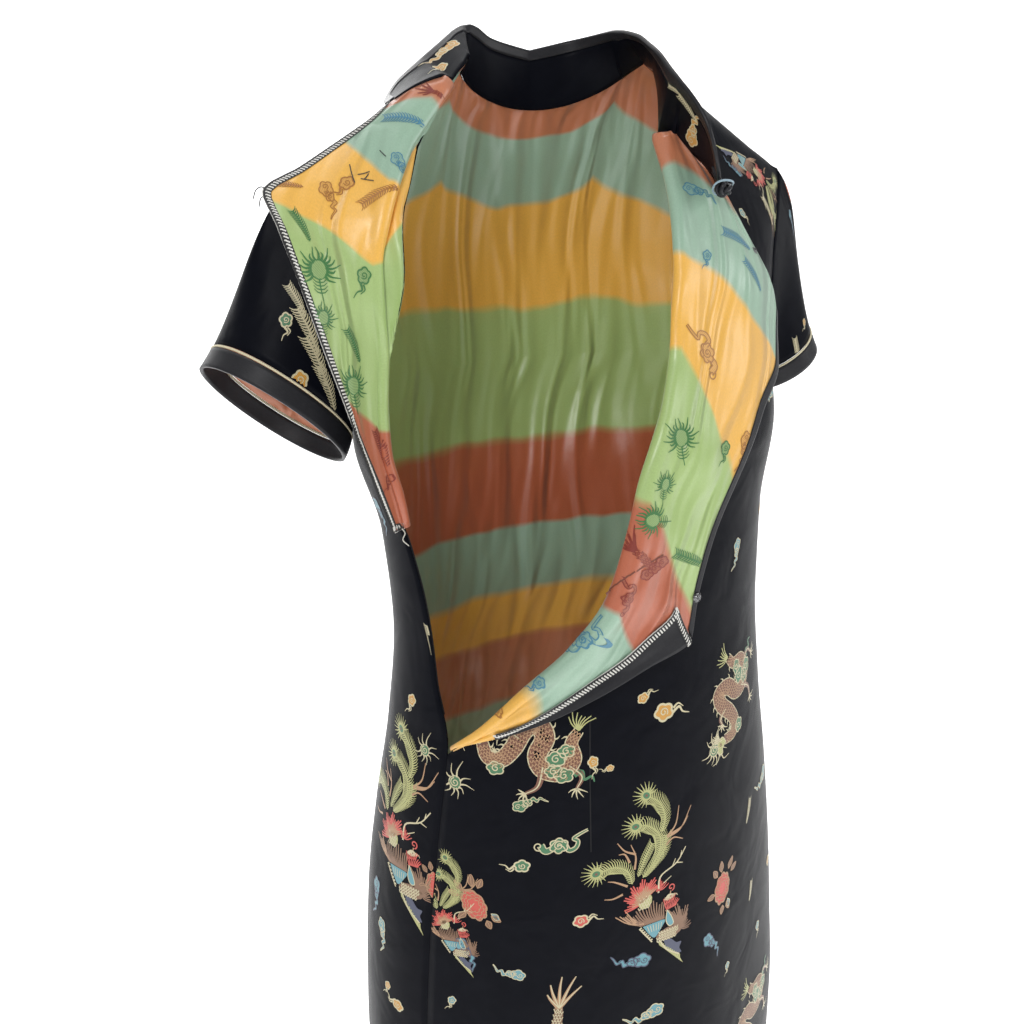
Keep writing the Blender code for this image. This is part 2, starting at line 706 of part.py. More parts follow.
def collar_shape():
    """A function placing a point of the collar by its distance along and up."""
    right, back, left = neck_line()
    line = right + back + left
    points = np.array([p for p, _ in line])
    runs = np.array([r for _, r in line])
    steps = np.linalg.norm(np.diff(points, axis=0), axis=1)
    places = np.concatenate([[0.0], np.cumsum(steps)])
    seam_way = np.gradient(points, axis=0)
    seam_way = seam_way / np.linalg.norm(seam_way, axis=1)[:, None]
    away = runs - np.sum(runs * seam_way, axis=1)[:, None] * seam_way
    away = away / np.linalg.norm(away, axis=1)[:, None]
    for i in range(len(right) + len(back), len(line)):
        if away[i][0] < -0.3:
            away[i] = -away[i]
    middle = places[len(right) + int(np.argmin([abs(p[0]) for p, _ in back]))]
    whole = places[-1]
    rim_left = smooth_table(COLLAR_RIM_LEFT)
    rim_right = smooth_table(COLLAR_RIM_RIGHT)

    def point_at(along, up):
        seam = np.array([np.interp(along, places, points[:, i]) for i in range(3)])
        clear = unit(np.array([np.interp(along, places, away[:, i]) for i in range(3)]))
        if along >= middle:
            rim = rim_left((along - middle) / (whole - middle))
        else:
            rim = rim_right((middle - along) / middle)
        rise = float(collar_rise_at(along / whole)[0])
        foot = seam + clear * COLLAR_STEP
        return foot + (rim - foot) * (up + rise) / (COLLAR_HEIGHT + rise)

    return point_at, places


def collar_top(along, whole, inset):
    """Height of the collar's edge, drawn in by an inset, with round front corners."""
    radius = COLLAR_CORNER - inset
    near = min(along, whole - along)
    into = max(COLLAR_CORNER - near, 0.0)
    rise = math.sqrt(max(radius * radius - into * into, 0.0))
    return COLLAR_HEIGHT - COLLAR_CORNER + rise


def build_collar(material, binding_material):
    """Stand collar of two halves in one strip, and the binding of its outer edge."""
    point_at, places = collar_shape()
    whole = places[-1]
    turn = [math.pi / 2 * k / CORNER_STEPS for k in range(CORNER_STEPS + 1)]
    radius = COLLAR_CORNER - BINDING_WIDTH - BINDING_GAP
    ends = [COLLAR_CORNER - radius * math.cos(a) for a in turn]
    middle = [d for d in places if COLLAR_CORNER + 0.002 < d < whole - COLLAR_CORNER - 0.002]
    columns = ends + middle + [whole - e for e in reversed(ends)]
    rows = []
    for k in range(COLLAR_ROWS + 1):
        inset = BINDING_WIDTH + BINDING_GAP
        rows.append([point_at(d, collar_top(d, whole, inset) * k / COLLAR_ROWS) for d in columns])
    add_sheet("collar", material, [sheet_mesh(rows)], COLLAR_CLOTH, face_up=False)

    def edge(inset):
        size = COLLAR_CORNER - inset
        base = COLLAR_HEIGHT - COLLAR_CORNER
        foot = [BINDING_FOOT + (base - BINDING_FOOT) * k / 2 for k in range(2)]
        path = [(inset, up) for up in foot]
        path += [(COLLAR_CORNER - size * math.cos(a), base + size * math.sin(a)) for a in turn]
        path += [(d, COLLAR_HEIGHT - inset) for d in middle]
        path += [(whole - COLLAR_CORNER + size * math.sin(a), base + size * math.cos(a)) for a in turn]
        path += [(whole - inset, up) for up in reversed(foot)]
        return [point_at(*place) for place in path]

    strip = [edge(BINDING_WIDTH), edge(0.0)]
    add_sheet("collar_binding", binding_material, [sheet_mesh(strip)], BINDING_CLOTH,
              face_up=False, offset=-0.6)
    return point_at, whole


def build_edge_binding(material):
    """Binding of the front flap's curved edge, from the neck to the side corner."""
    top_z = FRONT_FLAP[-1][0]
    heights = [z for z in BODICE_HEIGHTS if z > FLAP_CORNER_Z - 0.001] + yoke_heights(top_z)
    rows = []
    for z in heights:
        share = BINDING_WIDTH / flap_width(front_flap_point, z)
        rows.append([front_flap_point(z, 1 - share * (1 - k / 2)) for k in range(3)])
    add_sheet("front_edge_binding", material, [sheet_mesh(rows)], BINDING_CLOTH,
              face_up=False, offset=-0.5)
    return rows


def build_facings(material):
    """Black facing strips on the reverse, along both edges of the side opening."""
    low = [i for i, z in enumerate(BODICE_HEIGHTS) if z <= FLAP_CORNER_Z + 0.001][2:]
    on_front = [front_turned[i][-4:] for i in low]
    strip = moved_out(on_front, CLOTH + 2 * SEAM_GAP)
    if np.mean(strip[:, :, 1]) > np.mean(np.array(on_front)[:, :, 1]):
        strip = moved_out(on_front, -CLOTH - 2 * SEAM_GAP)
    add_sheet("front_side_facing", material, [sheet_mesh(strip)], FACING_CLOTH, offset=1.0)
    first = len(SKIRT_HEIGHTS)
    on_back = [back_rows[first + i][-3:] for i in low]
    strip = moved_out(on_back, CLOTH + 2 * SEAM_GAP)
    if np.mean(strip[:, :, 0]) < np.mean(np.array(on_back)[:, :, 0]):
        strip = moved_out(on_back, -CLOTH - 2 * SEAM_GAP)
    add_sheet("back_side_facing", material, [sheet_mesh(strip)], FACING_CLOTH)


def add_round(name, material, centre, axis, profile, segments=16):
    """A small turned piece: rings of radius and height stacked along its axis."""
    turned = bmesh.new()
    below = [turned.verts.new((0.0, 0.0, profile[0][1]))]
    below += [turned.verts.new((r, 0.0, h)) for r, h in profile]
    below.append(turned.verts.new((0.0, 0.0, profile[-1][1])))
    edges = [turned.edges.new(pair) for pair in zip(below, below[1:])]
    bmesh.ops.spin(turned, geom=below + edges, cent=(0, 0, 0), axis=(0, 0, 1),
                   angle=2 * math.pi, steps=segments, use_merge=True)
    bmesh.ops.remove_doubles(turned, verts=turned.verts, dist=0.00001)
    bmesh.ops.recalc_face_normals(turned, faces=turned.faces)
    mesh = bpy.data.meshes.new(name)
    turned.to_mesh(mesh)
    turned.free()
    mesh.materials.append(material)
    mesh.shade_smooth()
    piece = bpy.data.objects.new(name, mesh)
    piece.location = Vector(centre)
    piece.rotation_euler = Vector(axis).to_track_quat("Z", "Y").to_euler()
    dress.objects.link(piece)


def build_fasteners(knot_material, metal_material, collar_at, whole, edge_rows):
    """Corded knot button at the collar's end and press studs on the front's edge."""
    end = collar_at(whole, KNOT_HEIGHT)
    edge = unit(collar_at(whole, KNOT_HEIGHT + STUD_RADIUS) - end)
    inward = collar_at(whole - BINDING_WIDTH, KNOT_HEIGHT) - end
    away = -unit(inward - edge * np.dot(inward, edge))
    knot = [
        (KNOT_RADIUS * math.sin(math.pi * k / 6), -KNOT_RADIUS * math.cos(math.pi * k / 6))
        for k in range(1, 6)
    ]
    add_round("knot_button", knot_material, end + away * KNOT_RADIUS, away, knot, 12)
    stud = [(STUD_RADIUS, 0.0), (STUD_RADIUS, STUD_RIM), (STUD_RADIUS * STUD_BOSS, STUD_RIM),
            (STUD_RADIUS * STUD_TOP, STUD_RIM * 2)]
    faces = grid_normals(edge_rows)
    for name, place in (("press_stud_neck", -2), ("press_stud_corner", 1)):
        centre = edge_rows[place][1]
        face = faces[place][1]
        lift = BINDING_CLOTH * 0.75 + 2 * SEAM_GAP
        add_round(name, metal_material, centre + face * lift, face, stud)


front_rows, front_turned = build_front_panel(make_material("front_brocade", BLACK, BROCADE_ROUGHNESS))
under_rows, under_turned = build_underlap(make_material("underlap_brocade", BLACK, BROCADE_ROUGHNESS))
back_rows = build_back_panel(make_material("back_brocade", BLACK, BROCADE_ROUGHNESS))
satin = make_material("black_satin", (0.020, 0.020, 0.023), 0.38)
piping = make_material("cream_piping", (0.72, 0.66, 0.47), 0.55)
sleeve_cloth = make_material("sleeve_brocade", BLACK, BROCADE_ROUGHNESS)
left_ring = armhole_ring(1, front_rows, back_rows)
build_sleeve(1, "left", left_ring, sleeve_cloth, satin, piping)
right_ring = armhole_ring(-1, under_rows, back_rows)
build_sleeve(-1, "right", right_ring, sleeve_cloth, satin, piping)
collar_at, collar_length = build_collar(make_material("collar_brocade", BLACK, BROCADE_ROUGHNESS), satin)
edge_rows = build_edge_binding(satin)
build_facings(satin)
metal = make_material("stud_metal", (0.35, 0.35, 0.36), 0.30, 1.0)
build_fasteners(satin, metal, collar_at, collar_length, edge_rows)
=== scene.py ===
import math
import bmesh
import bpy
import numpy as np
from mathutils import Matrix, Vector
from mathutils.bvhtree import BVHTree


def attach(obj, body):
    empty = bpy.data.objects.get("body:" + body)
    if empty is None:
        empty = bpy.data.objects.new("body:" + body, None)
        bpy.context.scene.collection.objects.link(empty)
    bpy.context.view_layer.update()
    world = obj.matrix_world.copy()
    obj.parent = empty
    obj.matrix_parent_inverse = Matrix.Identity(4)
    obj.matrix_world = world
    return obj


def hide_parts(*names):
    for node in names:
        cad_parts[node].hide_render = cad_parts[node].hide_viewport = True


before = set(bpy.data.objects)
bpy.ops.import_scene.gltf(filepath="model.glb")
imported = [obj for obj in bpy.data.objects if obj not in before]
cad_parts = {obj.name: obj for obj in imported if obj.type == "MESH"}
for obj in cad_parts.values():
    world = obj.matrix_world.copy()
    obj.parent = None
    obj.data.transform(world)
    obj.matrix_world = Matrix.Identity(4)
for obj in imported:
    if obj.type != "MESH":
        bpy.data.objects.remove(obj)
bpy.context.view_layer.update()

# Studio: a white sweep of paper under and behind the dress, two large soft lamps in
# front, one above and one behind.  The camera stands at the wearer's right, level with
# the chest, and looks slightly down.
EYE = Vector((-0.38056, -0.72664, -0.09255))
EYE_RIGHT = Vector((0.90418, -0.42652, -0.02318))
EYE_UP = Vector((0.14382, 0.25287, 0.95675))
EYE_BACK = Vector((-0.40221, -0.86841, 0.28998))
FOCAL_PIXELS = 1046.4
PICTURE = 1024

camera_data = bpy.data.cameras.new("camera")
camera_data.sensor_width = 36.0
camera_data.lens = 36.0 * FOCAL_PIXELS / PICTURE
camera_data.clip_start = 0.01
camera = bpy.data.objects.new("camera", camera_data)
camera_frame = Matrix((EYE_RIGHT, EYE_UP, EYE_BACK)).transposed().to_4x4()
camera.matrix_world = Matrix.Translation(EYE) @ camera_frame
bpy.context.scene.collection.objects.link(camera)
bpy.context.scene.camera = camera

world = bpy.data.worlds.new("studio")
world.use_nodes = True
world.node_tree.nodes["Background"].inputs["Color"].default_value = (1.0, 1.0, 1.0, 1.0)
world.node_tree.nodes["Background"].inputs["Strength"].default_value = 0.42
bpy.context.scene.world = world
bpy.context.scene.view_settings.view_transform = "Standard"

paper = bpy.data.materials.new("white_paper")
paper.use_nodes = True
paper_shader = paper.node_tree.nodes["Principled BSDF"]
paper_shader.inputs["Base Color"].default_value = (0.92, 0.92, 0.92, 1.0)
paper_shader.inputs["Roughness"].default_value = 0.9
paper_shader.inputs["Emission Color"].default_value = (1.0, 1.0, 1.0, 1.0)
paper_shader.inputs["Emission Strength"].default_value = 0.75
FLOOR_Z = -1.45
SWEEP_BEND = 1.2
SWEEP_REACH = 2.6
sweep_mesh = bmesh.new()
sweep_rows = bmesh.ops.create_grid(sweep_mesh, x_segments=12, y_segments=48, size=1.0)["verts"]
for vertex in sweep_rows:
    along = (vertex.co.y + 1) / 2 * 17.0 - 4.0
    turn = min(max((along - SWEEP_REACH) / SWEEP_BEND, 0.0), math.pi / 2)
    past = max(along - SWEEP_REACH - SWEEP_BEND * math.pi / 2, 0.0)
    back = min(along, SWEEP_REACH) + SWEEP_BEND * math.sin(turn)
    rise = SWEEP_BEND * (1 - math.cos(turn)) + past
    vertex.co = (vertex.co.x * 4.5 + 0.45 * back, back, FLOOR_Z + rise)
sweep = bpy.data.meshes.new("paper_sweep")
sweep_mesh.to_mesh(sweep)
sweep_mesh.free()
sweep.materials.append(paper)
paper_sweep = bpy.data.objects.new("paper_sweep", sweep)
bpy.context.scene.collection.objects.link(paper_sweep)

for lamp_name, place, aim, size, watts in (
    ("key_lamp", (-1.9, -2.1, 1.5), (0.0, 0.0, -0.45), 1.0, 40.0),
    ("fill_lamp", (2.2, -1.6, 0.6), (0.0, 0.0, -0.45), 1.2, 20.0),
    ("top_lamp", (0.2, 0.5, 2.3), (0.0, 0.0, -0.3), 1.5, 22.0),
    ("back_lamp", (0.6, 2.4, 0.7), (0.0, 0.0, -0.5), 1.6, 18.0),
):
    lamp_data = bpy.data.lights.new(lamp_name, "AREA")
    lamp_data.size = size
    lamp_data.energy = watts
    lamp = bpy.data.objects.new(lamp_name, lamp_data)
    lamp.location = place
    way = Vector(aim) - Vector(place)
    lamp.rotation_euler = way.to_track_quat("-Z", "Y").to_euler()
    bpy.context.scene.collection.objects.link(lamp)

# Front: skirt and bodice in one, of black silk brocade with bands of coloured weft on its
# reverse, sewn to the back at the left side and shoulder.  Its right edge is free from
# the hip to the neck, and the overlap is turned out to the wearer's left over a roll.
CLOTH = 0.0012
HEM_Z = -1.06
SLIT_TOP_Z = -0.82
SLIT_SPREAD = 0.010
OPENING_FOOT_Z = -0.478
ARMPIT_Z = -0.226
NECK_X = 0.072
SHOULDER_X = 0.199
SHOULDER_DROP = 0.078
SHOULDER_ROUND_FRONT = 0.16
SHOULDER_ROUND_BACK = 0.14
SEAM_GAP = 0.0003
SHOULDER_GAP = 0.0005
BINDING_WIDTH = 0.008
WORN_COLUMNS = 60
FLAP_COLUMNS = 30
ROLL_STEPS = 8
YOKE_ROWS = 36
FRONT_SEAM_COLUMN = 42
FLAP_CORNER_Z = -0.312

# height, half width, front depth, back depth, centre y
BODY = (
    (-0.060, 0.204, 0.062, 0.078, -0.004),
    (-0.100, 0.196, 0.084, 0.092, -0.008),
    (-0.150, 0.181, 0.101, 0.101, -0.011),
    (-0.200, 0.170, 0.112, 0.100, -0.013),
    (-0.260, 0.173, 0.124, 0.098, -0.016),
    (-0.330, 0.158, 0.116, 0.092, -0.024),
    (-0.400, 0.155, 0.109, 0.092, -0.030),
    (-0.480, 0.162, 0.115, 0.106, -0.028),
    (-0.560, 0.175, 0.122, 0.121, -0.024),
    (-0.640, 0.186, 0.128, 0.128, -0.020),
    (-0.720, 0.193, 0.130, 0.130, -0.019),
    (-0.800, 0.197, 0.131, 0.131, -0.020),
    (-0.950, 0.194, 0.129, 0.129, -0.020),
    (-1.060, 0.190, 0.127, 0.127, -0.020),
)

# height and bearing of the fold, height and bearing of the free edge, radius of the
# roll, lift of the free edge, extra lift half way across
FRONT_FLAP = (
    (-0.478, -58.9, -0.473, -56.3, 0.0020, 0.0030, 0.000),
    (-0.460, -49.7, -0.466, -47.0, 0.0035, 0.0045, 0.000),
    (-0.427, -36.8, -0.451, -31.2, 0.0055, 0.0065, -0.001),
    (-0.399, -25.0, -0.434, -16.5, 0.0075, 0.0075, -0.003),
    (-0.363, -14.5, -0.418, -3.4, 0.0080, 0.0080, -0.004),
    (-0.312, -8.0, -0.403, 10.0, 0.0070, 0.0090, -0.003),
    (-0.281, -5.1, -0.374, 11.2, 0.0060, 0.0100, -0.001),
    (-0.256, -1.7, -0.352, 13.1, 0.0050, 0.0100, 0.000),
    (-0.226, 3.2, -0.324, 16.6, 0.0040, 0.0100, 0.001),
    (-0.191, 7.1, -0.288, 23.0, 0.0040, 0.0100, 0.002),
    (-0.165, 8.4, -0.247, 33.2, 0.0040, 0.0100, 0.003),
    (-0.137, 10.4, -0.221, 46.7, 0.0040, 0.0100, 0.003),
    (-0.101, 12.3, -0.187, 50.4, 0.0050, 0.0090, 0.003),
    (-0.075, 13.5, -0.146, 36.6, 0.0060, 0.0090, 0.003),
    (-0.056, 13.8, -0.108, 24.9, 0.0080, 0.0100, 0.002),
)

# height and bearing of the right side line
RIGHT_SIDE = (
    (HEM_Z, -60.0),
    (OPENING_FOOT_Z, -60.0),
    (-0.427, -66.0),
    (-0.363, -70.0),
    (-0.312, -75.5),
    (-0.281, -80.0),
    (-0.256, -84.5),
    (ARMPIT_Z, -90.0),
)


def smooth_table(table):
    """A function that reads a table smoothly, by its first column."""
    rows = np.array(sorted(table), float)
    xs, ys = rows[:, 0], rows[:, 1:]
    steps = np.diff(ys, axis=0) / np.diff(xs)[:, None]
    turn = np.zeros_like(ys)
    same_way = steps[:-1] * steps[1:] > 0
    total = np.where(same_way, steps[:-1] + steps[1:], 1.0)
    turn[1:-1] = np.where(same_way, 2 * steps[:-1] * steps[1:] / total, 0.0)
    turn[0] = steps[0]
    turn[-1] = steps[-1]

    def read(x):
        x = min(max(x, xs[0]), xs[-1])
        i = min(int(np.searchsorted(xs, x, side="right")) - 1, len(xs) - 2)
        width = xs[i + 1] - xs[i]
        t = (x - xs[i]) / width
        start = ys[i] * (1 + 2 * t) * (1 - t) ** 2 + turn[i] * width * t * (1 - t) ** 2
        return start + ys[i + 1] * t * t * (3 - 2 * t) - turn[i + 1] * width * t * t * (1 - t)

    return read


def unit(vector):
    return vector / np.linalg.norm(vector)


body_at = smooth_table(BODY)
front_flap_at = smooth_table(FRONT_FLAP)
right_side_at = smooth_table(RIGHT_SIDE)


def ridge_height(x):
    return -max(abs(x) - NECK_X, 0.0) / (SHOULDER_X - NECK_X) * SHOULDER_DROP


def body_point(bearing, z):
    """A point of the cloth's face as worn, from its bearing round the body and height."""
    half, front, back, centre = body_at(min(z, BODY[0][0]))
    angle = math.radians(bearing)
    facing = math.cos(angle)
    x = half * math.sin(angle)
    depth = front if facing > 0 else back
    round_over = SHOULDER_ROUND_FRONT if facing > 0 else SHOULDER_ROUND_BACK
    below = min(max(ridge_height(x) - z, 0.0), round_over)
    roundness = math.sqrt(max(0.0, 1 - (1 - below / round_over) ** 2))
    skirt = min(max((-0.60 - z) / 0.40, 0.0), 1.0)
    fold = 0.0035 * skirt * math.sin(math.radians(5 * bearing + 40))
    fold += 0.0025 * skirt * math.sin(math.radians(8 * bearing - 20))
    y = centre - depth * facing * roundness
    return np.array([x, y, z]) + fold * np.array([math.sin(angle), -facing, 0.0])


def outward(bearing, z):
    across = body_point(bearing + 0.2, z) - body_point(bearing - 0.2, z)
    along = body_point(bearing, z + 0.0004) - body_point(bearing, z - 0.0004)
    return unit(np.cross(across, along))


def nudge_bearing(bearing, z, distance):
    per_degree = np.linalg.norm(body_point(bearing + 0.5, z) - body_point(bearing - 0.5, z))
    return bearing + distance / per_degree


def side_inset(z):
    """How far a side edge stands back from the side line, more down the slit."""
    if z > ARMPIT_Z - 0.001:
        return 0.0006
    if z >= SLIT_TOP_Z:
        return SEAM_GAP / 2
    return SEAM_GAP / 2 + SLIT_SPREAD / 2 * (SLIT_TOP_Z - z) / (SLIT_TOP_Z - HEM_Z)


def armhole(side, front, share):
    """Bearing and height on an armhole, from the armpit (0) to the shoulder tip (1)."""
    tip = math.degrees(math.asin(SHOULDER_X / body_at(-SHOULDER_DROP)[0]))
    rise = math.sin(math.pi / 2 * share)
    bearing = 90 + (tip - 90) * rise - (22.0 if front else 16.0) * math.sin(math.pi * rise)
    if not front:
        bearing = 180 - bearing
    return np.array([side * bearing, ARMPIT_Z + (-SHOULDER_DROP - ARMPIT_Z) * rise])


def shoulder_line(side, front, share):
    """Bearing and height on a shoulder seam, from its tip (0) to the neck (1)."""
    x = SHOULDER_X + (NECK_X - SHOULDER_X) * share
    bearing = math.degrees(math.asin(x / body_at(BODY[0][0])[0]))
    if share < 0.02:
        bearing = abs(armhole(1, True, 1.0)[0])
    if not front:
        bearing = 180 - bearing
    return np.array([side * bearing, ridge_height(x)])


def yoke_point(bottom, top, near, far, across, share):
    """Blend the four edges of the cloth above the armpit."""
    rise = math.sin(math.pi / 2 * share)
    blend = (1 - rise) * bottom(across) + rise * top(across)
    near_gap = near(share) - ((1 - rise) * bottom(0.0) + rise * top(0.0))
    far_gap = far(share) - ((1 - rise) * bottom(1.0) + rise * top(1.0))
    return blend + (1 - across) * near_gap + across * far_gap


def fold_frame(side, flap_at, z, low, high):
    """Where the cloth turns back at one height: bearing, radius, turn, start and face."""
    data = flap_at(z)
    bearing = data[0]
    radius = data[3] if side > 0 else data[4]
    higher = min(z + 0.004, high)
    lower = max(z - 0.004, low)
    line = body_point(flap_at(higher)[0], higher) - body_point(flap_at(lower)[0], lower)
    face = outward(bearing, z)
    turn = unit(np.cross(face, line))
    round_body = body_point(bearing - side, z) - body_point(bearing, z)
    if np.dot(turn, round_body) < 0:
        turn = -turn
    slip = np.dot(turn, unit(np.array([round_body[0], round_body[1], 0.0])))
    start = nudge_bearing(bearing, z, side * radius / max(slip, 0.5))
    return bearing, radius, turn, start, face


def roll_points(frame_at_fold, z):
    """The rolled fold: half a turn from the worn cloth to the cloth turned out."""
    bearing, radius, turn, start, face = frame_at_fold
    foot = body_point(start, z)
    points = [foot]
    for k in range(1, ROLL_STEPS + 1):
        angle = math.pi * k / ROLL_STEPS
        swing = math.sin(angle) * turn - math.cos(angle) * face
        points.append(foot + face * radius + radius * swing)
    return points


def worn_rows(side, flap_at, heights, low, high, columns, seam_column, side_line):
    """Bearings and heights of the worn cloth, up to the start of its fold."""
    fold_start = lambda z: fold_frame(side, flap_at, z, low, high)[3]
    rows = []
    for z in heights:
        start, end = side_line(z), fold_start(z)
        rows.append([(start + (end - start) * j / columns, z) for j in range(columns + 1)])
    level = lambda share: ARMPIT_Z + (high - ARMPIT_Z) * share
    fold_end = lambda share: np.array([fold_start(level(share)), level(share)])
    armpit = np.array([side * 90.0, ARMPIT_Z])
    bottom_end = fold_end(0.0)
    top_end = fold_end(1.0)
    bottom = lambda s: armpit + (bottom_end - armpit) * s
    neck = shoulder_line(side, True, 1.0)
    seam_share = seam_column / columns

    def top(s):
        if s < seam_share:
            return shoulder_line(side, True, s / seam_share)
        return neck + (top_end - neck) * (s - seam_share) / (1 - seam_share)

    for k in range(1, YOKE_ROWS + 1):
        share = k / YOKE_ROWS
        far = fold_end(share)
        rows.append([
            tuple(yoke_point(bottom, top, lambda t: armhole(side, True, t), lambda t: far,
                             j / columns, share))
            for j in range(columns + 1)
        ])
    return rows


def hold_seam_back(row, shift, seam_column):
    """Stand the shoulder edge off its seam line, most at the tip."""
    for j in range(seam_column + 1):
        row[j] = row[j] + np.array([0.0, shift * (2.2 if j == 0 else 1.0), 0.0])


def bodice_heights(low, step=0.006):
    count = round((ARMPIT_Z - low) / step)
    return [low + (ARMPIT_Z - low) * k / count for k in range(count + 1)]


def yoke_heights(high):
    return [ARMPIT_Z + (high - ARMPIT_Z) * k / YOKE_ROWS for k in range(1, YOKE_ROWS + 1)]


def front_flap_row(z):
    """The roll and the turned-out cloth at one fold height."""
    bearing, edge_z, edge_bearing, radius, edge_lift, belly = front_flap_at(z)
    place = fold_frame(1, front_flap_at, z, FRONT_FLAP[0][0], FRONT_FLAP[-1][0])
    roll = roll_points(place, z)
    from_roll = roll[-1] - (body_point(bearing, z) + outward(bearing, z) * 2 * radius)

    def at(across):
        lift = 2 * radius + (edge_lift - 2 * radius) * across
        lift += belly * math.sin(math.pi * across)
        ease = math.sin(math.pi * min(across * 1.15, 1.0)) ** 0.7
        lift += 0.0016 * ease * math.sin(62 * z + 5.0 * across + 0.8)
        lift += 0.0011 * ease * math.sin(118 * z - 7.0 * across)
        flat_z = z + (edge_z - z) * across
        flat_bearing = bearing + (edge_bearing - bearing) * across
        on_body = body_point(flat_bearing, flat_z) + outward(flat_bearing, flat_z) * lift
        return on_body + from_roll * (1 - across)

    return roll, at


def path_length(points):
    return sum(np.linalg.norm(b - a) for a, b in zip(points, points[1:]))


SKIRT_ROWS = 97
skirt_heights = [HEM_Z + (OPENING_FOOT_Z - HEM_Z) * k / SKIRT_ROWS for k in range(SKIRT_ROWS)]
front_low, front_high = FRONT_FLAP[0][0], FRONT_FLAP[-1][0]
front_bodice = bodice_heights(front_low)
front_places = []
for z in skirt_heights:
    start = nudge_bearing(90.0, z, -side_inset(z))
    end = nudge_bearing(right_side_at(z)[0], z, side_inset(z))
    front_places.append([(start + (end - start) * j / WORN_COLUMNS, z) for j in range(WORN_COLUMNS + 1)])
front_places += worn_rows(1, front_flap_at, front_bodice, front_low, front_high, WORN_COLUMNS,
                          FRONT_SEAM_COLUMN, lambda z: nudge_bearing(90.0, z, -side_inset(z)))
front_rows = [[body_point(b, z) for b, z in row] for row in front_places]
hold_seam_back(front_rows[-1], -SHOULDER_GAP, FRONT_SEAM_COLUMN)

front_turned = []
edge_binding_rows = []
front_fold_heights = front_bodice + yoke_heights(front_high)
for i, z in enumerate(front_fold_heights):
    roll, at = front_flap_row(z)
    width = path_length([at(k / 6) for k in range(7)])
    end = 1.0
    if z > FLAP_CORNER_Z - 0.001:
        end = 1.0 - (BINDING_WIDTH - 0.0008) / width
        edge_binding_rows.append([at(1 - BINDING_WIDTH / width * (1 - k / 6)) for k in range(7)])
    front_turned.append(roll + [at(end * j / FLAP_COLUMNS) for j in range(1, FLAP_COLUMNS + 1)])
    front_rows[SKIRT_ROWS + i][-1] = roll[0]


def flat_sheet(rows, heights, fold_column):
    """Cloth coordinates of a grid: metres across from the fold, and the weft's height."""
    flat = []
    for row, height in zip(rows, heights):
        steps = [0.0] + [float(np.linalg.norm(b - a)) for a, b in zip(row, row[1:])]
        along = np.cumsum(steps)
        flat.append([(along[j] - along[fold_column], height) for j in range(len(row))])
    return flat


def cloth_piece(name, grids, thickness, materials, face_up=True, offset=-1.0):
    """Cloth through rows of points: face, reverse and cut edge, each in its material."""
    joined = bmesh.new()
    for rows, flat in grids:
        grid = bmesh.new()
        across = len(rows[0])
        bmesh.ops.create_grid(grid, x_segments=across - 1, y_segments=len(rows) - 1, size=1.0)
        sheet_uv = grid.loops.layers.uv.new("cloth")
        coordinates = [c for row in flat for c in row]
        for vertex, point in zip(grid.verts, (p for row in rows for p in row)):
            vertex.co = Vector(point)
        for face in grid.faces:
            face.smooth = True
            for corner in face.loops:
                corner[sheet_uv].uv = coordinates[corner.vert.index]
        part = bpy.data.meshes.new("part")
        grid.to_mesh(part)
        grid.free()
        joined.from_mesh(part)
        bpy.data.meshes.remove(part)
    bmesh.ops.remove_doubles(joined, verts=joined.verts, dist=0.00002)
    if not face_up:
        bmesh.ops.reverse_faces(joined, faces=joined.faces)
    mesh = bpy.data.meshes.new(name)
    joined.to_mesh(mesh)
    joined.free()
    for material in materials:
        mesh.materials.append(material)
    piece = bpy.data.objects.new(name, mesh)
    bpy.context.scene.collection.objects.link(piece)
    wall = piece.modifiers.new("thickness", "SOLIDIFY")
    wall.thickness = thickness
    wall.offset = offset
    wall.use_even_offset = False
    wall.use_rim = True
    wall.material_offset = min(1, len(materials) - 1)
    wall.material_offset_rim = 0
    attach(piece, "root")
    return piece


def cloth_nodes(name):
    """A material with its shader, and a short way to add and join nodes."""
    material = bpy.data.materials.new(name)
    material.use_nodes = True
    nodes = material.node_tree.nodes
    shader = nodes["Principled BSDF"]

    def add(kind, settings=(), inputs=()):
        node = nodes.new(kind)
        for key, value in dict(settings).items():
            setattr(node, key, value)
        for key, value in dict(inputs).items():
            if hasattr(value, "is_output"):
                material.node_tree.links.new(value, node.inputs[key])
            else:
                node.inputs[key].default_value = value
        return node

    def join(output, socket):
        material.node_tree.links.new(output, shader.inputs[socket])

    return material, shader, add, join


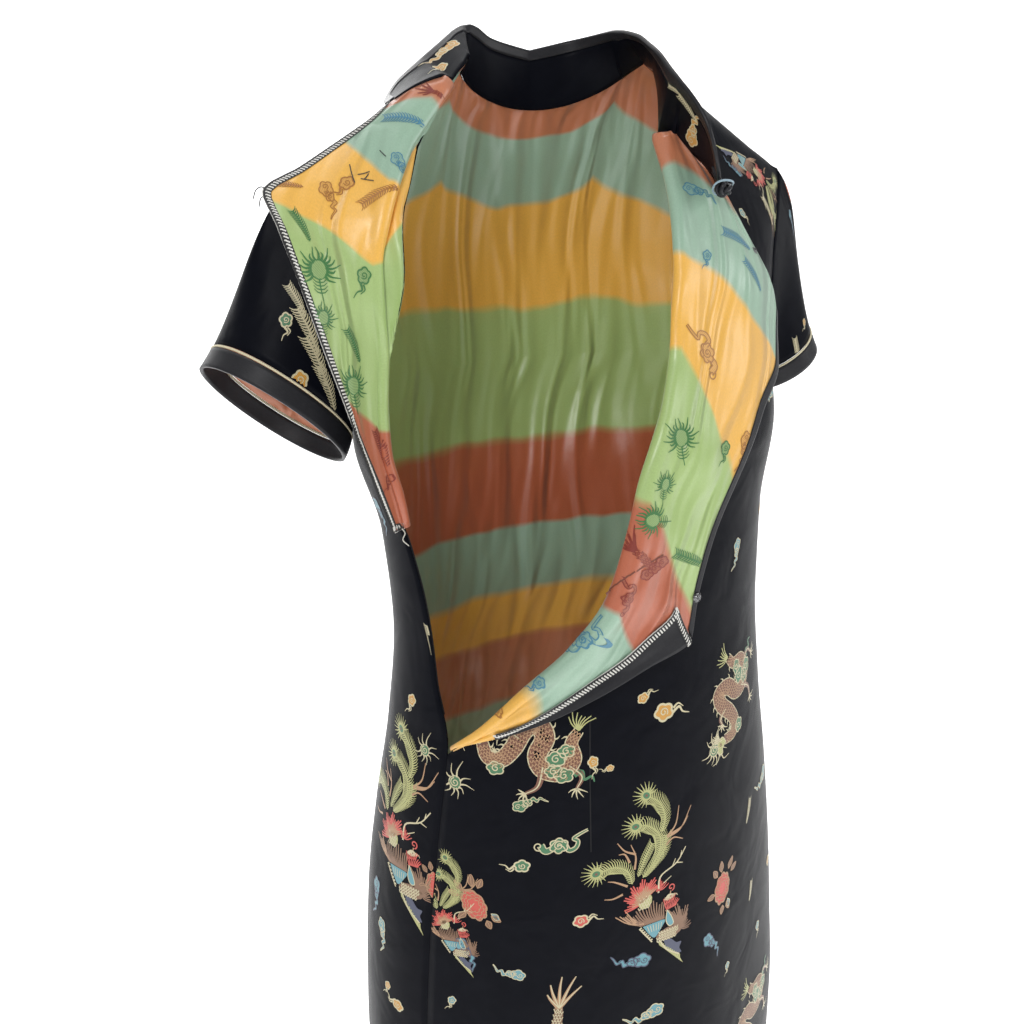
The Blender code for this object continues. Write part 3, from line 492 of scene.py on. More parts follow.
def woven_bump(add, join, across=13000.0, along=9000.0, strength=0.25, creases=0.5, folds=0.0):
    """Fine threads both ways of the cloth, over soft handling creases and long folds."""
    flat = add("ShaderNodeUVMap", {"uv_map": "cloth"}).outputs["UV"]
    warp = add("ShaderNodeTexWave", {"bands_direction": "X"}, {"Vector": flat, "Scale": across / 20})
    weft = add("ShaderNodeTexWave", {"bands_direction": "Y"}, {"Vector": flat, "Scale": along / 20})
    weave = add("ShaderNodeMath", {"operation": "MULTIPLY"},
                {0: warp.outputs["Fac"], 1: weft.outputs["Fac"]})
    fine = add("ShaderNodeBump", {}, {"Height": weave.outputs[0], "Strength": strength,
                                      "Distance": 0.0001})
    place = add("ShaderNodeTexCoord").outputs["Object"]
    soft = add("ShaderNodeTexNoise", {}, {"Vector": place, "Scale": 22.0, "Detail": 2.0,
                                          "Roughness": 0.45, "Distortion": 0.6})
    broad = add("ShaderNodeBump", {}, {"Height": soft.outputs["Fac"], "Strength": creases,
                                       "Distance": 0.004, "Normal": fine.outputs["Normal"]})
    long_way = add("ShaderNodeMapping", {}, {"Vector": flat, "Scale": (34.0, 7.0, 1.0)})
    fold = add("ShaderNodeTexNoise", {}, {"Vector": long_way.outputs[0], "Scale": 1.0, "Detail": 1.0,
                                          "Distortion": 0.8})
    hung = add("ShaderNodeBump", {}, {"Height": fold.outputs["Fac"], "Strength": folds,
                                      "Distance": 0.018, "Normal": broad.outputs["Normal"]})
    join(hung.outputs["Normal"], "Normal")
    return flat, weave.outputs[0]


def brocade_face(name):
    """Black satin ground of the brocade."""
    material, shader, add, join = cloth_nodes(name)
    flat, weave = woven_bump(add, join)
    cloudy = add("ShaderNodeTexNoise", {}, {"Vector": flat, "Scale": 60.0, "Detail": 3.0})
    tone = add("ShaderNodeMix", {"data_type": "RGBA"},
               {0: cloudy.outputs["Fac"], 6: (0.0022, 0.0026, 0.0048, 1), 7: (0.0048, 0.0055, 0.0092, 1)})
    join(tone.outputs[2], "Base Color")
    rough = add("ShaderNodeMapRange", {}, {"Value": weave, "To Min": 0.34, "To Max": 0.50})
    join(rough.outputs["Result"], "Roughness")
    shader.inputs["Specular IOR Level"].default_value = 0.05
    return material


ORANGE = (0.52, 0.18, 0.085)
TEAL = (0.30, 0.46, 0.34)
GOLD = (0.84, 0.46, 0.075)
LEAF = (0.36, 0.50, 0.18)
RUST = (0.46, 0.12, 0.055)


def weft_reverse(name, bands, lowest, highest):
    """Reverse of the brocade: satin bands of coloured weft, softly edged, finely ribbed."""
    material, shader, add, join = cloth_nodes(name)
    flat, weave = woven_bump(add, join, strength=0.35, creases=0.35, folds=0.8)
    split = add("ShaderNodeSeparateXYZ", {}, {"Vector": flat})
    wander = add("ShaderNodeTexNoise", {}, {"Vector": flat, "Scale": 28.0, "Detail": 1.0})
    drift = add("ShaderNodeMath", {"operation": "MULTIPLY_ADD"},
                {0: wander.outputs["Fac"], 1: 0.010, 2: split.outputs["Y"]})
    level = add("ShaderNodeMapRange", {}, {"Value": drift.outputs[0], "From Min": lowest + 0.005,
                                           "From Max": highest + 0.005})
    ramp = add("ShaderNodeValToRGB", {}, {"Fac": level.outputs["Result"]})
    stops = ramp.color_ramp.elements
    span = highest - lowest
    edge = 0.0012 / span
    stops[0].position = 0.0
    stops[0].color = (*bands[0][1], 1)
    stops[1].position = 1.0
    stops[1].color = (*bands[-1][1], 1)
    for (_, under), (foot, over) in zip(bands, bands[1:]):
        at = (foot - lowest) / span
        stops.new(at - edge).color = (*under, 1)
        stops.new(at + edge).color = (*over, 1)
    grain = add("ShaderNodeTexNoise", {}, {"Vector": flat, "Scale": 900.0, "Detail": 2.0})
    shade = add("ShaderNodeMapRange", {}, {"Value": grain.outputs["Fac"], "To Min": 0.84, "To Max": 1.10})
    tint = add("ShaderNodeVectorMath", {"operation": "SCALE"},
               {0: ramp.outputs["Color"], "Scale": shade.outputs["Result"]})
    join(tint.outputs[0], "Base Color")
    rough = add("ShaderNodeMapRange", {}, {"Value": weave, "To Min": 0.28, "To Max": 0.42})
    join(rough.outputs["Result"], "Roughness")
    shader.inputs["Sheen Weight"].default_value = 0.15
    shader.inputs["Specular IOR Level"].default_value = 0.75
    return material


def repeated_bands(start, step, floor):
    """Weft bands of one even width, from a height down to the hem, lowest first."""
    order = (ORANGE, TEAL, GOLD, LEAF, RUST)
    bands = []
    top = start
    k = 0
    while top > floor:
        top -= step
        bands.append((top, order[k % len(order)]))
        k += 1
    return bands[::-1]


front_face = brocade_face("front_brocade_face")
FRONT_BANDS = repeated_bands(-0.478, 0.073, HEM_Z) + [
    (-0.478, GOLD), (-0.429, TEAL), (-0.369, RUST), (-0.294, LEAF), (-0.199, GOLD),
    (-0.135, TEAL), (-0.080, ORANGE),
]
front_reverse = weft_reverse("front_brocade_reverse", FRONT_BANDS, HEM_Z - 0.07, 0.02)
front_worn_flat = flat_sheet(front_rows, skirt_heights + front_fold_heights, -1)
front_turned_flat = flat_sheet(front_turned, front_fold_heights, 0)
for row in front_turned_flat:
    across = row[-1][0]
    row[:] = [(x, y - 0.35 * max(y + 0.13, 0.0) * max(x / across, 0.0) ** 2) for x, y in row]
front_panel = cloth_piece(
    "front_of_dress",
    [(front_rows, front_worn_flat), (front_turned, front_turned_flat)],
    CLOTH, [front_face, front_reverse], face_up=False,
)
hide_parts("front_panel")

# Underlap: the narrow right under front, sewn to the back at the side and shoulder and
# hidden when the dress is fastened.  Here it is turned out over the right shoulder and
# sleeve, with its reverse to the light.
UNDER_COLUMNS = 24
UNDER_SEAM_COLUMN = 18

# height and bearing of the fold, x, y and z of the free edge, radius of the roll,
# extra lift half way across
UNDERLAP_FLAP = (
    (-0.312, -70.0, -0.166, -0.068, -0.313, 0.0025, 0.001),
    (-0.281, -67.5, -0.180, -0.075, -0.273, 0.0035, 0.002),
    (-0.256, -68.5, -0.195, -0.078, -0.229, 0.0040, 0.003),
    (-0.226, -69.0, -0.205, -0.074, -0.192, 0.0040, 0.004),
    (-0.187, -66.5, -0.217, -0.066, -0.143, 0.0040, 0.005),
    (-0.156, -61.8, -0.224, -0.056, -0.113, 0.0040, 0.006),
    (-0.133, -58.0, -0.228, -0.034, -0.089, 0.0040, 0.004),
    (-0.110, -51.4, -0.199, -0.023, -0.073, 0.0045, 0.003),
    (-0.087, -45.1, -0.167, -0.015, -0.055, 0.0050, 0.003),
    (-0.054, -35.6, -0.147, -0.013, -0.043, 0.0050, 0.003),
    (-0.022, -26.0, -0.134, -0.009, -0.034, 0.0050, 0.003),
)
underlap_at = smooth_table(UNDERLAP_FLAP)
under_low, under_high = UNDERLAP_FLAP[0][0], UNDERLAP_FLAP[-1][0]


def underlap_row(z):
    """The roll and the turned-out underlap at one fold height."""
    bearing, edge_x, edge_y, edge_z, radius, belly = underlap_at(z)
    roll = roll_points(fold_frame(-1, underlap_at, z, under_low, under_high), z)
    edge = np.array([edge_x, edge_y, edge_z])
    face = unit(outward(bearing, z) + np.array([0.0, -0.3, 0.4]))

    def at(across):
        chord = roll[-1] + (edge - roll[-1]) * across
        lift = belly * math.sin(math.pi * across)
        low = min(max((-0.13 - z) / 0.08, 0.0), 1.0)
        lift += 0.0022 * low * math.sin(math.pi * across) * math.sin(13 * across + 18 * z)
        return chord + face * lift

    return roll, at


under_bodice = bodice_heights(under_low)
under_fold_heights = under_bodice + yoke_heights(under_high)
under_places = worn_rows(
    -1, underlap_at, under_bodice, under_low, under_high, UNDER_COLUMNS, UNDER_SEAM_COLUMN,
    lambda z: nudge_bearing(right_side_at(z)[0], z, side_inset(z)),
)
under_rows = [[body_point(b, z) for b, z in row] for row in under_places]
hold_seam_back(under_rows[-1], -SHOULDER_GAP, UNDER_SEAM_COLUMN)
under_turned = []
for i, z in enumerate(under_fold_heights):
    roll, at = underlap_row(z)
    under_turned.append(roll + [at(j / FLAP_COLUMNS) for j in range(1, FLAP_COLUMNS + 1)])
    under_rows[i][-1] = roll[0]

UNDER_BANDS = [(-0.40, RUST), (-0.244, LEAF), (-0.133, GOLD), (-0.087, TEAL), (-0.035, ORANGE)]
under_face = brocade_face("underlap_brocade_face")
under_reverse = weft_reverse("underlap_brocade_reverse", UNDER_BANDS, -0.40, 0.02)
underlap = cloth_piece(
    "underlap_cloth",
    [(under_rows, flat_sheet(under_rows, under_fold_heights, -1)),
     (under_turned, flat_sheet(under_turned, under_fold_heights, 0))],
    CLOTH, [under_face, under_reverse],
)
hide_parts("underlap")

# Back: one width of the brocade, sewn to the front and the underlap at the sides and
# shoulders, with a shallow neck.  Its banded reverse shows in shade through the opening.
BACK_COLUMNS = 84
BACK_SEAM_COLUMN = 27
BACK_NECK_Z = -0.030

back_bodice = bodice_heights(OPENING_FOOT_Z)
back_places = []
for z in skirt_heights + back_bodice:
    start = nudge_bearing(90.0, z, side_inset(z))
    end = nudge_bearing(360 + right_side_at(z)[0], z, -side_inset(z))
    back_places.append([(start + (end - start) * j / BACK_COLUMNS, z) for j in range(BACK_COLUMNS + 1)])


def mirrored(place):
    return np.array([360 - place[0], place[1]])


def back_top(s):
    seam_share = BACK_SEAM_COLUMN / BACK_COLUMNS
    if s <= seam_share:
        return shoulder_line(1, False, s / seam_share)
    if s >= 1 - seam_share:
        return mirrored(shoulder_line(1, False, (1 - s) / seam_share))
    u = (s - seam_share) / (1 - 2 * seam_share)
    neck = shoulder_line(1, False, 1.0)[0]
    return np.array([neck + (360 - 2 * neck) * u, BACK_NECK_Z * math.sin(math.pi * u) ** 0.6])


for k in range(1, YOKE_ROWS + 1):
    share = k / YOKE_ROWS
    back_places.append([
        tuple(yoke_point(lambda s: np.array([90 + 180 * s, ARMPIT_Z]), back_top,
                         lambda t: armhole(1, False, t), lambda t: mirrored(armhole(1, False, t)),
                         j / BACK_COLUMNS, share))
        for j in range(BACK_COLUMNS + 1)
    ])
back_rows = [[body_point(b, z) for b, z in row] for row in back_places]
hold_seam_back(back_rows[-1], SHOULDER_GAP, BACK_SEAM_COLUMN)
back_rows[-1].reverse()
hold_seam_back(back_rows[-1], SHOULDER_GAP, BACK_SEAM_COLUMN)
back_rows[-1].reverse()
back_heights = skirt_heights + back_bodice + yoke_heights(-0.02)
back_face = brocade_face("back_brocade_face")
back_reverse = weft_reverse("back_brocade_reverse", FRONT_BANDS, HEM_Z - 0.07, 0.02)
back_flat = flat_sheet(back_rows, back_heights, BACK_COLUMNS // 2)
back_panel = cloth_piece("back_of_dress", [(back_rows, back_flat)], CLOTH, [back_face, back_reverse])
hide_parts("back_panel")

# Sleeves: two short cap sleeves set into the armholes, each hem finished with a band of
# black satin and a fine cream cord let into its seam.
SLEEVE_ROWS = 22
CUFF_WIDTH = 0.015
CUFF_CLOTH = 0.0022
PIPING_RADIUS = 0.0009
# hem centre x, y, z, outward and forward tilt of its axis, half breadth, half depth
SLEEVES = {
    "right": (-0.228, -0.005, -0.236, 0.88, 0.29, 0.058, 0.052),
    "left": (0.216, 0.018, -0.240, 0.60, -0.02, 0.042, 0.050),
}


def armhole_ring(side, front_side, back_side):
    """Closed armhole: its points and the way the cloth runs off each of them."""
    first = -YOKE_ROWS - 1
    ring = []
    for rows, edge, inner, order in (
        (front_side, 0, 1, range(-1, first - 1, -1)),
        (back_side, *((0, 1) if side > 0 else (-1, -2)), range(first, 0)),
    ):
        for i in order:
            ring.append((rows[i][edge], unit(rows[i][edge] - rows[i][inner])))
    tip = ((ring[0][0] + ring[-1][0]) / 2, unit(ring[0][1] + ring[-1][1]))
    foot = ((ring[YOKE_ROWS][0] + ring[YOKE_ROWS + 1][0]) / 2, np.array([0.0, 0.0, 1.0]))
    joined = [tip] + ring[1:YOKE_ROWS] + [foot] + ring[YOKE_ROWS + 2:-1]
    points = [p for p, _ in joined]
    placed = []
    for k, (point, run) in enumerate(joined):
        along = points[(k + 1) % len(points)] - points[k - 1]
        face = unit(np.cross(run, along)) * -side
        placed.append((point + 0.0005 * (run + face), run))
    runs = [run for _, run in placed]
    smoothed = []
    for k, (point, _) in enumerate(placed):
        around = [runs[(k + m) % len(runs)] for m in range(-6, 7)]
        smoothed.append((point, unit(sum(around))))
    return smoothed


def sleeve_rings(side, name, ring):
    """A function giving the sleeve's ring at each distance back from its hem."""
    x, y, z, out, forward, half_breadth, half_depth = SLEEVES[name]
    centre = np.array([x, y, z])
    axis = unit(np.array([side * out, -forward, -1.0]))
    under = unit(np.cross(axis, [0.0, 1.0, 0.0])) * -side
    front = unit(np.cross(axis, under))
    if front[1] > 0:
        front = -front
    columns = []
    for k, (start, run) in enumerate(ring):
        angle = 2 * math.pi * k / len(ring)
        end = centre - half_breadth * math.cos(angle) * under + half_depth * math.sin(angle) * front
        reach = np.linalg.norm(end - start) * 0.34
        columns.append((start, start + unit(axis + 0.6 * run) * reach, end - axis * reach, end))

    def curve(column, t):
        a, b, c, d = column
        return a * (1 - t) ** 3 + 3 * b * t * (1 - t) ** 2 + 3 * c * t * t * (1 - t) + d * t ** 3

    lengths = [path_length([curve(c, k / 8) for k in range(9)]) for c in columns]

    def ring_before_hem(distance, share=1.0):
        return [curve(c, (1 - distance / l) * share) for c, l in zip(columns, lengths)]

    return ring_before_hem


def satin(name, colour=(0.012, 0.012, 0.014), roughness=0.34):
    """Plain black satin tape, its threads running along the strip."""
    material, shader, add, join = cloth_nodes(name)
    flat, weave = woven_bump(add, join, across=18000.0, along=7000.0, strength=0.3, creases=0.25)
    slub = add("ShaderNodeTexNoise", {}, {"Vector": flat, "Scale": 340.0, "Detail": 2.0})
    tone = add("ShaderNodeMix", {"data_type": "RGBA"},
               {0: slub.outputs["Fac"], 6: (*colour, 1), 7: (*(1.9 * c for c in colour), 1)})
    join(tone.outputs[2], "Base Color")
    rough = add("ShaderNodeMapRange", {}, {"Value": weave, "To Min": roughness, "To Max": roughness + 0.14})
    join(rough.outputs["Result"], "Roughness")
    shader.inputs["Specular IOR Level"].default_value = 0.24
    return material


def thread(name, colour, roughness=0.5):
    """Twisted silk thread or embroidery floss in one colour, with the grooves of its twist painted darker as
    painted shade.
    """
    material, shader, add, join = cloth_nodes(name)
    place = add("ShaderNodeTexCoord").outputs["Object"]
    turned = add("ShaderNodeMapping", {}, {"Vector": place, "Rotation": (0.5, 0.3, 0.9)})
    twist = add("ShaderNodeTexWave", {},
                {"Vector": turned.outputs[0], "Scale": 400.0, "Distortion": 1.5})
    # Painted shade: the colour drops to 0.72 of itself in the twist's grooves, where the bump is low.
    tone = add("ShaderNodeMix", {"data_type": "RGBA"},
               {0: twist.outputs["Fac"], 6: (*(0.72 * c for c in colour), 1), 7: (*colour, 1)})
    join(tone.outputs[2], "Base Color")
    relief = add("ShaderNodeBump", {}, {"Height": twist.outputs["Fac"], "Strength": 0.3, "Distance": 0.0001})
    join(relief.outputs["Normal"], "Normal")
    shader.inputs["Roughness"].default_value = roughness
    shader.inputs["Sheen Weight"].default_value = 0.15
    return material


def cord_mesh(name, path, radius, material, closed=False):
    """A round cord along a path, as a mesh."""
    curve = bpy.data.curves.new(name, "CURVE")
    curve.dimensions = "3D"
    curve.bevel_depth = radius
    curve.bevel_resolution = 2
    curve.use_fill_caps = True
    spline = curve.splines.new("POLY")
    spline.points.add(len(path) - 1)
    for knot, point in zip(spline.points, path):
        knot.co = (*point, 1.0)
    spline.use_cyclic_u = closed
    holder = bpy.data.objects.new(name + "_curve", curve)
    bpy.context.scene.collection.objects.link(holder)
    graph = bpy.context.evaluated_depsgraph_get()
    mesh = bpy.data.meshes.new_from_object(holder.evaluated_get(graph))
    bpy.data.objects.remove(holder, do_unlink=True)
    mesh.name = name
    mesh.materials.clear()
    mesh.materials.append(material)
    piece = bpy.data.objects.new(name, mesh)
    bpy.context.scene.collection.objects.link(piece)
    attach(piece, "root")
    return piece


def ring_sheet(rings):
    rows = [ring + [ring[0]] for ring in rings]
    return rows, flat_sheet(rows, [0.008 * i for i in range(len(rows))], 0)


sleeve_face = brocade_face("sleeve_brocade_face")
sleeve_reverse = weft_reverse("sleeve_brocade_reverse", [(-0.2, RUST), (0.10, ORANGE)], -0.2, 0.4)
cuff_satin = satin("cuff_satin")
cream_cord = thread("cream_piping_silk", (0.74, 0.66, 0.44))
sleeve_surfaces = {}
cuff_rows = {}
for name, side, front_side in (("left", 1, front_rows), ("right", -1, under_rows)):
    ring_at = sleeve_rings(side, name, armhole_ring(side, front_side, back_rows))
    cloth_end = CUFF_WIDTH + 2 * PIPING_RADIUS + SEAM_GAP
    cloth = [ring_at(cloth_end, k / SLEEVE_ROWS) for k in range(SLEEVE_ROWS + 1)]
    sleeve_surfaces[name] = [ring + [ring[0]] for ring in cloth]
    sleeve = cloth_piece(f"sleeve_cloth_{name}", [ring_sheet(cloth)], CLOTH,
                         [sleeve_face, sleeve_reverse], face_up=side > 0)
    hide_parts(f"sleeve_{name}")
    cuff = [ring_at((CUFF_WIDTH - SEAM_GAP) * (1 - k / 6)) for k in range(7)]
    band = cloth_piece(f"cuff_band_{name}", [ring_sheet(cuff)], CUFF_CLOTH, [cuff_satin],
                       face_up=side > 0, offset=-0.5)
    cuff_rows[name] = ring_sheet(cuff)[0]
    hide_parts(f"sleeve_binding_{name}")
    cord = cord_mesh(f"cuff_piping_{name}", ring_at(CUFF_WIDTH + PIPING_RADIUS), PIPING_RADIUS,
                     cream_cord, closed=True)
    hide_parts(f"sleeve_piping_{name}")

# Collar: a stiff stand of the same brocade on both sides, sewn round the neck, whose two
# halves meet at the front with round corners.  Bound with black satin, it stands open.
COLLAR_HEIGHT = 0.042
COLLAR_CORNER = 0.022
COLLAR_ROWS = 10
COLLAR_CLOTH = 0.0016
TAPE_CLOTH = 0.0024
COLLAR_STEP = 0.0011
# share of the way from the centre back to a front end, then x, y and z of the rim
COLLAR_RIM_LEFT = (
    (0.00, 0.002, 0.050, 0.012),
    (0.15, 0.033, 0.040, 0.019),
    (0.30, 0.048, 0.005, 0.022),
    (0.42, 0.049, -0.031, 0.015),
    (0.50, 0.048, -0.049, 0.007),
    (0.58, 0.047, -0.063, 0.000),
    (0.66, 0.047, -0.076, -0.010),
    (0.74, 0.048, -0.088, -0.020),
    (0.82, 0.051, -0.099, -0.031),
    (0.90, 0.055, -0.110, -0.046),
    (1.00, 0.059, -0.121, -0.072),
)
COLLAR_RIM_RIGHT = (
    (0.00, 0.002, 0.050, 0.012),
    (0.20, -0.033, 0.044, 0.019),
    (0.32, -0.046, 0.039, 0.025),
    (0.42, -0.052, 0.037, 0.026),
    (0.53, -0.063, 0.033, 0.022),
    (0.65, -0.081, 0.025, 0.010),
    (0.76, -0.099, 0.021, -0.003),
    (0.88, -0.113, 0.024, -0.015),
    (1.00, -0.122, 0.032, -0.027),
)
# share of the neck seam from its right end, distance of the collar's foot from it
COLLAR_RISE = (
    (0.00, 0.0010), (0.10, 0.0012), (0.15, 0.0028), (0.20, 0.0010), (0.88, 0.0010),
    (0.92, 0.0026), (0.96, 0.0030), (1.00, 0.0028),
)


def neck_run(rows, columns, depth=4):
    return [(rows[-1][j], unit(rows[-1][j] - rows[-1 - depth][j])) for j in columns]


turned_columns = range(ROLL_STEPS + 1, ROLL_STEPS + FLAP_COLUMNS + 1)
neck_right = neck_run(under_turned, reversed(turned_columns))
neck_right += neck_run(under_rows, reversed(range(UNDER_SEAM_COLUMN + 2, UNDER_COLUMNS)))
neck_back = neck_run(back_rows, reversed(range(BACK_SEAM_COLUMN, BACK_COLUMNS + 1 - BACK_SEAM_COLUMN)))
neck_left = neck_run(front_rows, range(FRONT_SEAM_COLUMN + 2, WORN_COLUMNS))
neck_left += neck_run(front_turned, turned_columns)
neck_line = neck_right + neck_back + neck_left
neck_points = np.array([p for p, _ in neck_line])
neck_places = np.concatenate([[0.0], np.cumsum(np.linalg.norm(np.diff(neck_points, axis=0), axis=1))])
neck_way = np.gradient(neck_points, axis=0)
neck_way = neck_way / np.linalg.norm(neck_way, axis=1)[:, None]
neck_off = np.array([r for _, r in neck_line])
neck_off = neck_off - np.sum(neck_off * neck_way, axis=1)[:, None] * neck_way
neck_off = neck_off / np.linalg.norm(neck_off, axis=1)[:, None]
for i in range(len(neck_right) + len(neck_back), len(neck_line)):
    if neck_off[i][0] < -0.3:
        neck_off[i] = -neck_off[i]
neck_middle = neck_places[len(neck_right) + int(np.argmin([abs(p[0]) for p, _ in neck_back]))]
neck_whole = neck_places[-1]
rim_left = smooth_table(COLLAR_RIM_LEFT)
rim_right = smooth_table(COLLAR_RIM_RIGHT)
collar_rise_at = smooth_table(COLLAR_RISE)


def softened(values, along, spread=0.010):
    """Neck values near a place, averaged so that the collar's foot runs smoothly."""
    weight = np.exp(-((neck_places - along) / spread) ** 2)
    return (values * weight[:, None]).sum(axis=0) / weight.sum()


def collar_point(along, up):
    """A point of the collar by its distance along the seam and its height."""
    seam = softened(neck_points, along, 0.004)
    if along < 0.004 or along > neck_whole - 0.004:
        seam = np.array([np.interp(along, neck_places, neck_points[:, i]) for i in range(3)])
    clear = unit(softened(neck_off, along))
    if along >= neck_middle:
        rim = rim_left((along - neck_middle) / (neck_whole - neck_middle))
    else:
        rim = rim_right((neck_middle - along) / neck_middle)
    rise = float(collar_rise_at(along / neck_whole)[0])
    foot = seam + clear * COLLAR_STEP
    return foot + (rim - foot) * (up + rise) / (COLLAR_HEIGHT + rise)


def collar_top(along, inset):
    radius = COLLAR_CORNER - inset
    near = min(along, neck_whole - along)
    into = max(COLLAR_CORNER - near, 0.0)
    return COLLAR_HEIGHT - COLLAR_CORNER + math.sqrt(max(radius * radius - into * into, 0.0))


COLLAR_STEPS = 110
COLLAR_TRIM = BINDING_WIDTH - 0.0006
corner_turn = [math.pi / 2 * k / 10 for k in range(11)]
corner_radius = COLLAR_CORNER - COLLAR_TRIM
collar_ends = [COLLAR_CORNER - corner_radius * math.cos(a) for a in corner_turn]
collar_span = neck_whole - 2 * COLLAR_CORNER
collar_middle = [COLLAR_CORNER + collar_span * k / COLLAR_STEPS for k in range(1, COLLAR_STEPS)]
collar_columns = collar_ends + collar_middle + [neck_whole - e for e in reversed(collar_ends)]
COLLAR_TUCK = 0.003
collar_rows = []
for k in range(COLLAR_ROWS + 1):
    share = k / COLLAR_ROWS
    collar_rows.append([collar_point(d, collar_top(d, COLLAR_TRIM) * share - COLLAR_TUCK * (1 - share))
                        for d in collar_columns])
collar_flat = flat_sheet(collar_rows, [0.004 * k for k in range(COLLAR_ROWS + 1)], 0)
collar_face = brocade_face("collar_brocade_face")
collar = cloth_piece("collar_stand", [(collar_rows, collar_flat)], COLLAR_CLOTH, [collar_face],
                     face_up=False)
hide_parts("collar")


def collar_edge(inset):
    """The collar's outer line from one foot to the other, drawn in by an inset."""
    size = COLLAR_CORNER - inset
    base = COLLAR_HEIGHT - COLLAR_CORNER
    foot = [0.0015 + (base - 0.0015) * k / 6 for k in range(6)]
    path = [(inset, up) for up in foot]
    path += [(COLLAR_CORNER - size * math.cos(a), base + size * math.sin(a)) for a in corner_turn]
    path += [(d, COLLAR_HEIGHT - inset) for d in collar_middle]
    far = neck_whole - COLLAR_CORNER
    path += [(far + size * math.sin(a), base + size * math.cos(a)) for a in corner_turn]
    path += [(neck_whole - inset, up) for up in reversed(foot)]
    return [collar_point(*place) for place in path]


collar_strip = [collar_edge(BINDING_WIDTH * (1 - k / 4)) for k in range(5)]
binding_satin = satin("binding_satin", roughness=0.30)
collar_binding = cloth_piece(
    "collar_edge_tape", [(collar_strip, flat_sheet(collar_strip, [0.002 * k for k in range(5)], 0))],
    TAPE_CLOTH, [binding_satin], face_up=False, offset=-0.6,
)
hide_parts("collar_binding")

# Edge tape and facings: the overlap's curved edge is bound with the same satin, and both
# edges of the side opening have a black facing sewn on the reverse.
edge_flat = flat_sheet(edge_binding_rows, [0.004 * i for i in range(len(edge_binding_rows))], 0)
edge_binding = cloth_piece("overlap_edge_tape", [(edge_binding_rows, edge_flat)], TAPE_CLOTH,
                           [binding_satin], face_up=False, offset=-0.5)
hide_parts("front_edge_binding")


def grid_normals(rows):
    points = np.array(rows)
    normals = np.cross(np.gradient(points, axis=1), np.gradient(points, axis=0))
    return normals / np.linalg.norm(normals, axis=2)[:, :, None]


def moved_out(rows, distance):
    return np.array(rows) + grid_normals(rows) * distance


FACING_CLOTH = 0.0008
FACING_LIFT = CLOTH + 0.0005
FRONT_FACING_COLUMNS = 11
BACK_FACING_COLUMNS = 8
facing_satin = satin("facing_satin", colour=(0.009, 0.009, 0.011), roughness=0.42)
low_rows = [i for i, z in enumerate(front_fold_heights) if -0.455 < z < FLAP_CORNER_Z + 0.002]
on_front = [front_turned[i][-FRONT_FACING_COLUMNS:] for i in low_rows]
front_facing_rows = moved_out(on_front, FACING_LIFT)
if np.mean(front_facing_rows[:, :, 1]) > np.mean(np.array(on_front)[:, :, 1]):
    front_facing_rows = moved_out(on_front, -FACING_LIFT)
front_facing = cloth_piece(
    "front_facing_strip",
    [(front_facing_rows, flat_sheet(front_facing_rows, [0.006 * k for k in low_rows], 0))],
    FACING_CLOTH, [facing_satin], offset=1.0,
)
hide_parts("front_side_facing")
on_back = [back_rows[SKIRT_ROWS + i][-BACK_FACING_COLUMNS:] for i in low_rows]
back_facing_rows = moved_out(on_back, FACING_LIFT)
if np.mean(back_facing_rows[:, :, 0]) < np.mean(np.array(on_back)[:, :, 0]):
    back_facing_rows = moved_out(on_back, -FACING_LIFT)
back_facing = cloth_piece(
    "back_facing_strip",
    [(back_facing_rows, flat_sheet(back_facing_rows, [0.006 * k for k in low_rows], 0))],
    FACING_CLOTH, [facing_satin],
)
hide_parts("back_side_facing")

# Woven motifs, their drawings: the brocade's figures are floats of coloured silk that
# lie on the black ground, most of them edged with cream.  Each drawing is a flat piece
# in millimetres, its height being the lift of the silk off the cloth.
SILKS = {
    "cream": (0.66, 0.59, 0.37),
    "straw": (0.50, 0.50, 0.20),
    "gold": (0.66, 0.33, 0.05),
    "green": (0.055, 0.20, 0.085),
    "coral": (0.66, 0.085, 0.06),
    "blue": (0.13, 0.36, 0.42),
    "brown": (0.26, 0.135, 0.070),
    "maroon": (0.20, 0.075, 0.040),
    "mauve": (0.060, 0.070, 0.130),
    "rose": (0.50, 0.29, 0.15),
}
SILK_PLACE = {name: i for i, name in enumerate(SILKS)}
FILL_LIFT = 0.16
LINE_LIFT = 0.28
TOP_LIFT = 0.38
silk_threads = [thread("silk_" + name, colour, 0.42) for name, colour in SILKS.items()]


def bend(knots, count=16):
    """A smooth path through a few points."""
    knots = np.array(knots, float)
    ends = np.vstack([2 * knots[0] - knots[1], knots, 2 * knots[-1] - knots[-2]])
    path = []
    for t in np.linspace(0, len(knots) - 1, count):
        i = min(int(t), len(knots) - 2)
        a, b, c, d = ends[i:i + 4]
        u = t - i
        path.append(0.5 * (2 * b + (c - a) * u + (2 * a - 5 * b + 4 * c - d) * u * u
                           + (3 * b - a - 3 * c + d) * u ** 3))
    return np.array(path)


def spiral(x, y, wide, narrow, start, turns, count=18):
    angle = math.radians(start) + np.linspace(0, turns * 2 * math.pi, count)
    radius = np.linspace(wide, narrow, count)
    return np.stack([x + radius * np.cos(angle), y + radius * np.sin(angle)], axis=1)


def scallops(x, y, wide, high, lobes, turned=0.0, depth=0.22, count=44):
    """Outline of a puff with round lobes."""
    angle = np.linspace(0, 2 * math.pi, count + 1)
    size = 1 - depth + depth * np.abs(np.sin(lobes / 2 * angle + turned))
    return np.stack([x + wide * size * np.cos(angle), y + high * size * np.sin(angle)], axis=1)


def heading(degrees):
    """A direction in the drawing and the one square to it."""
    way = np.array([math.cos(math.radians(degrees)), math.sin(math.radians(degrees))])
    return way, np.array([-way[1], way[0]])


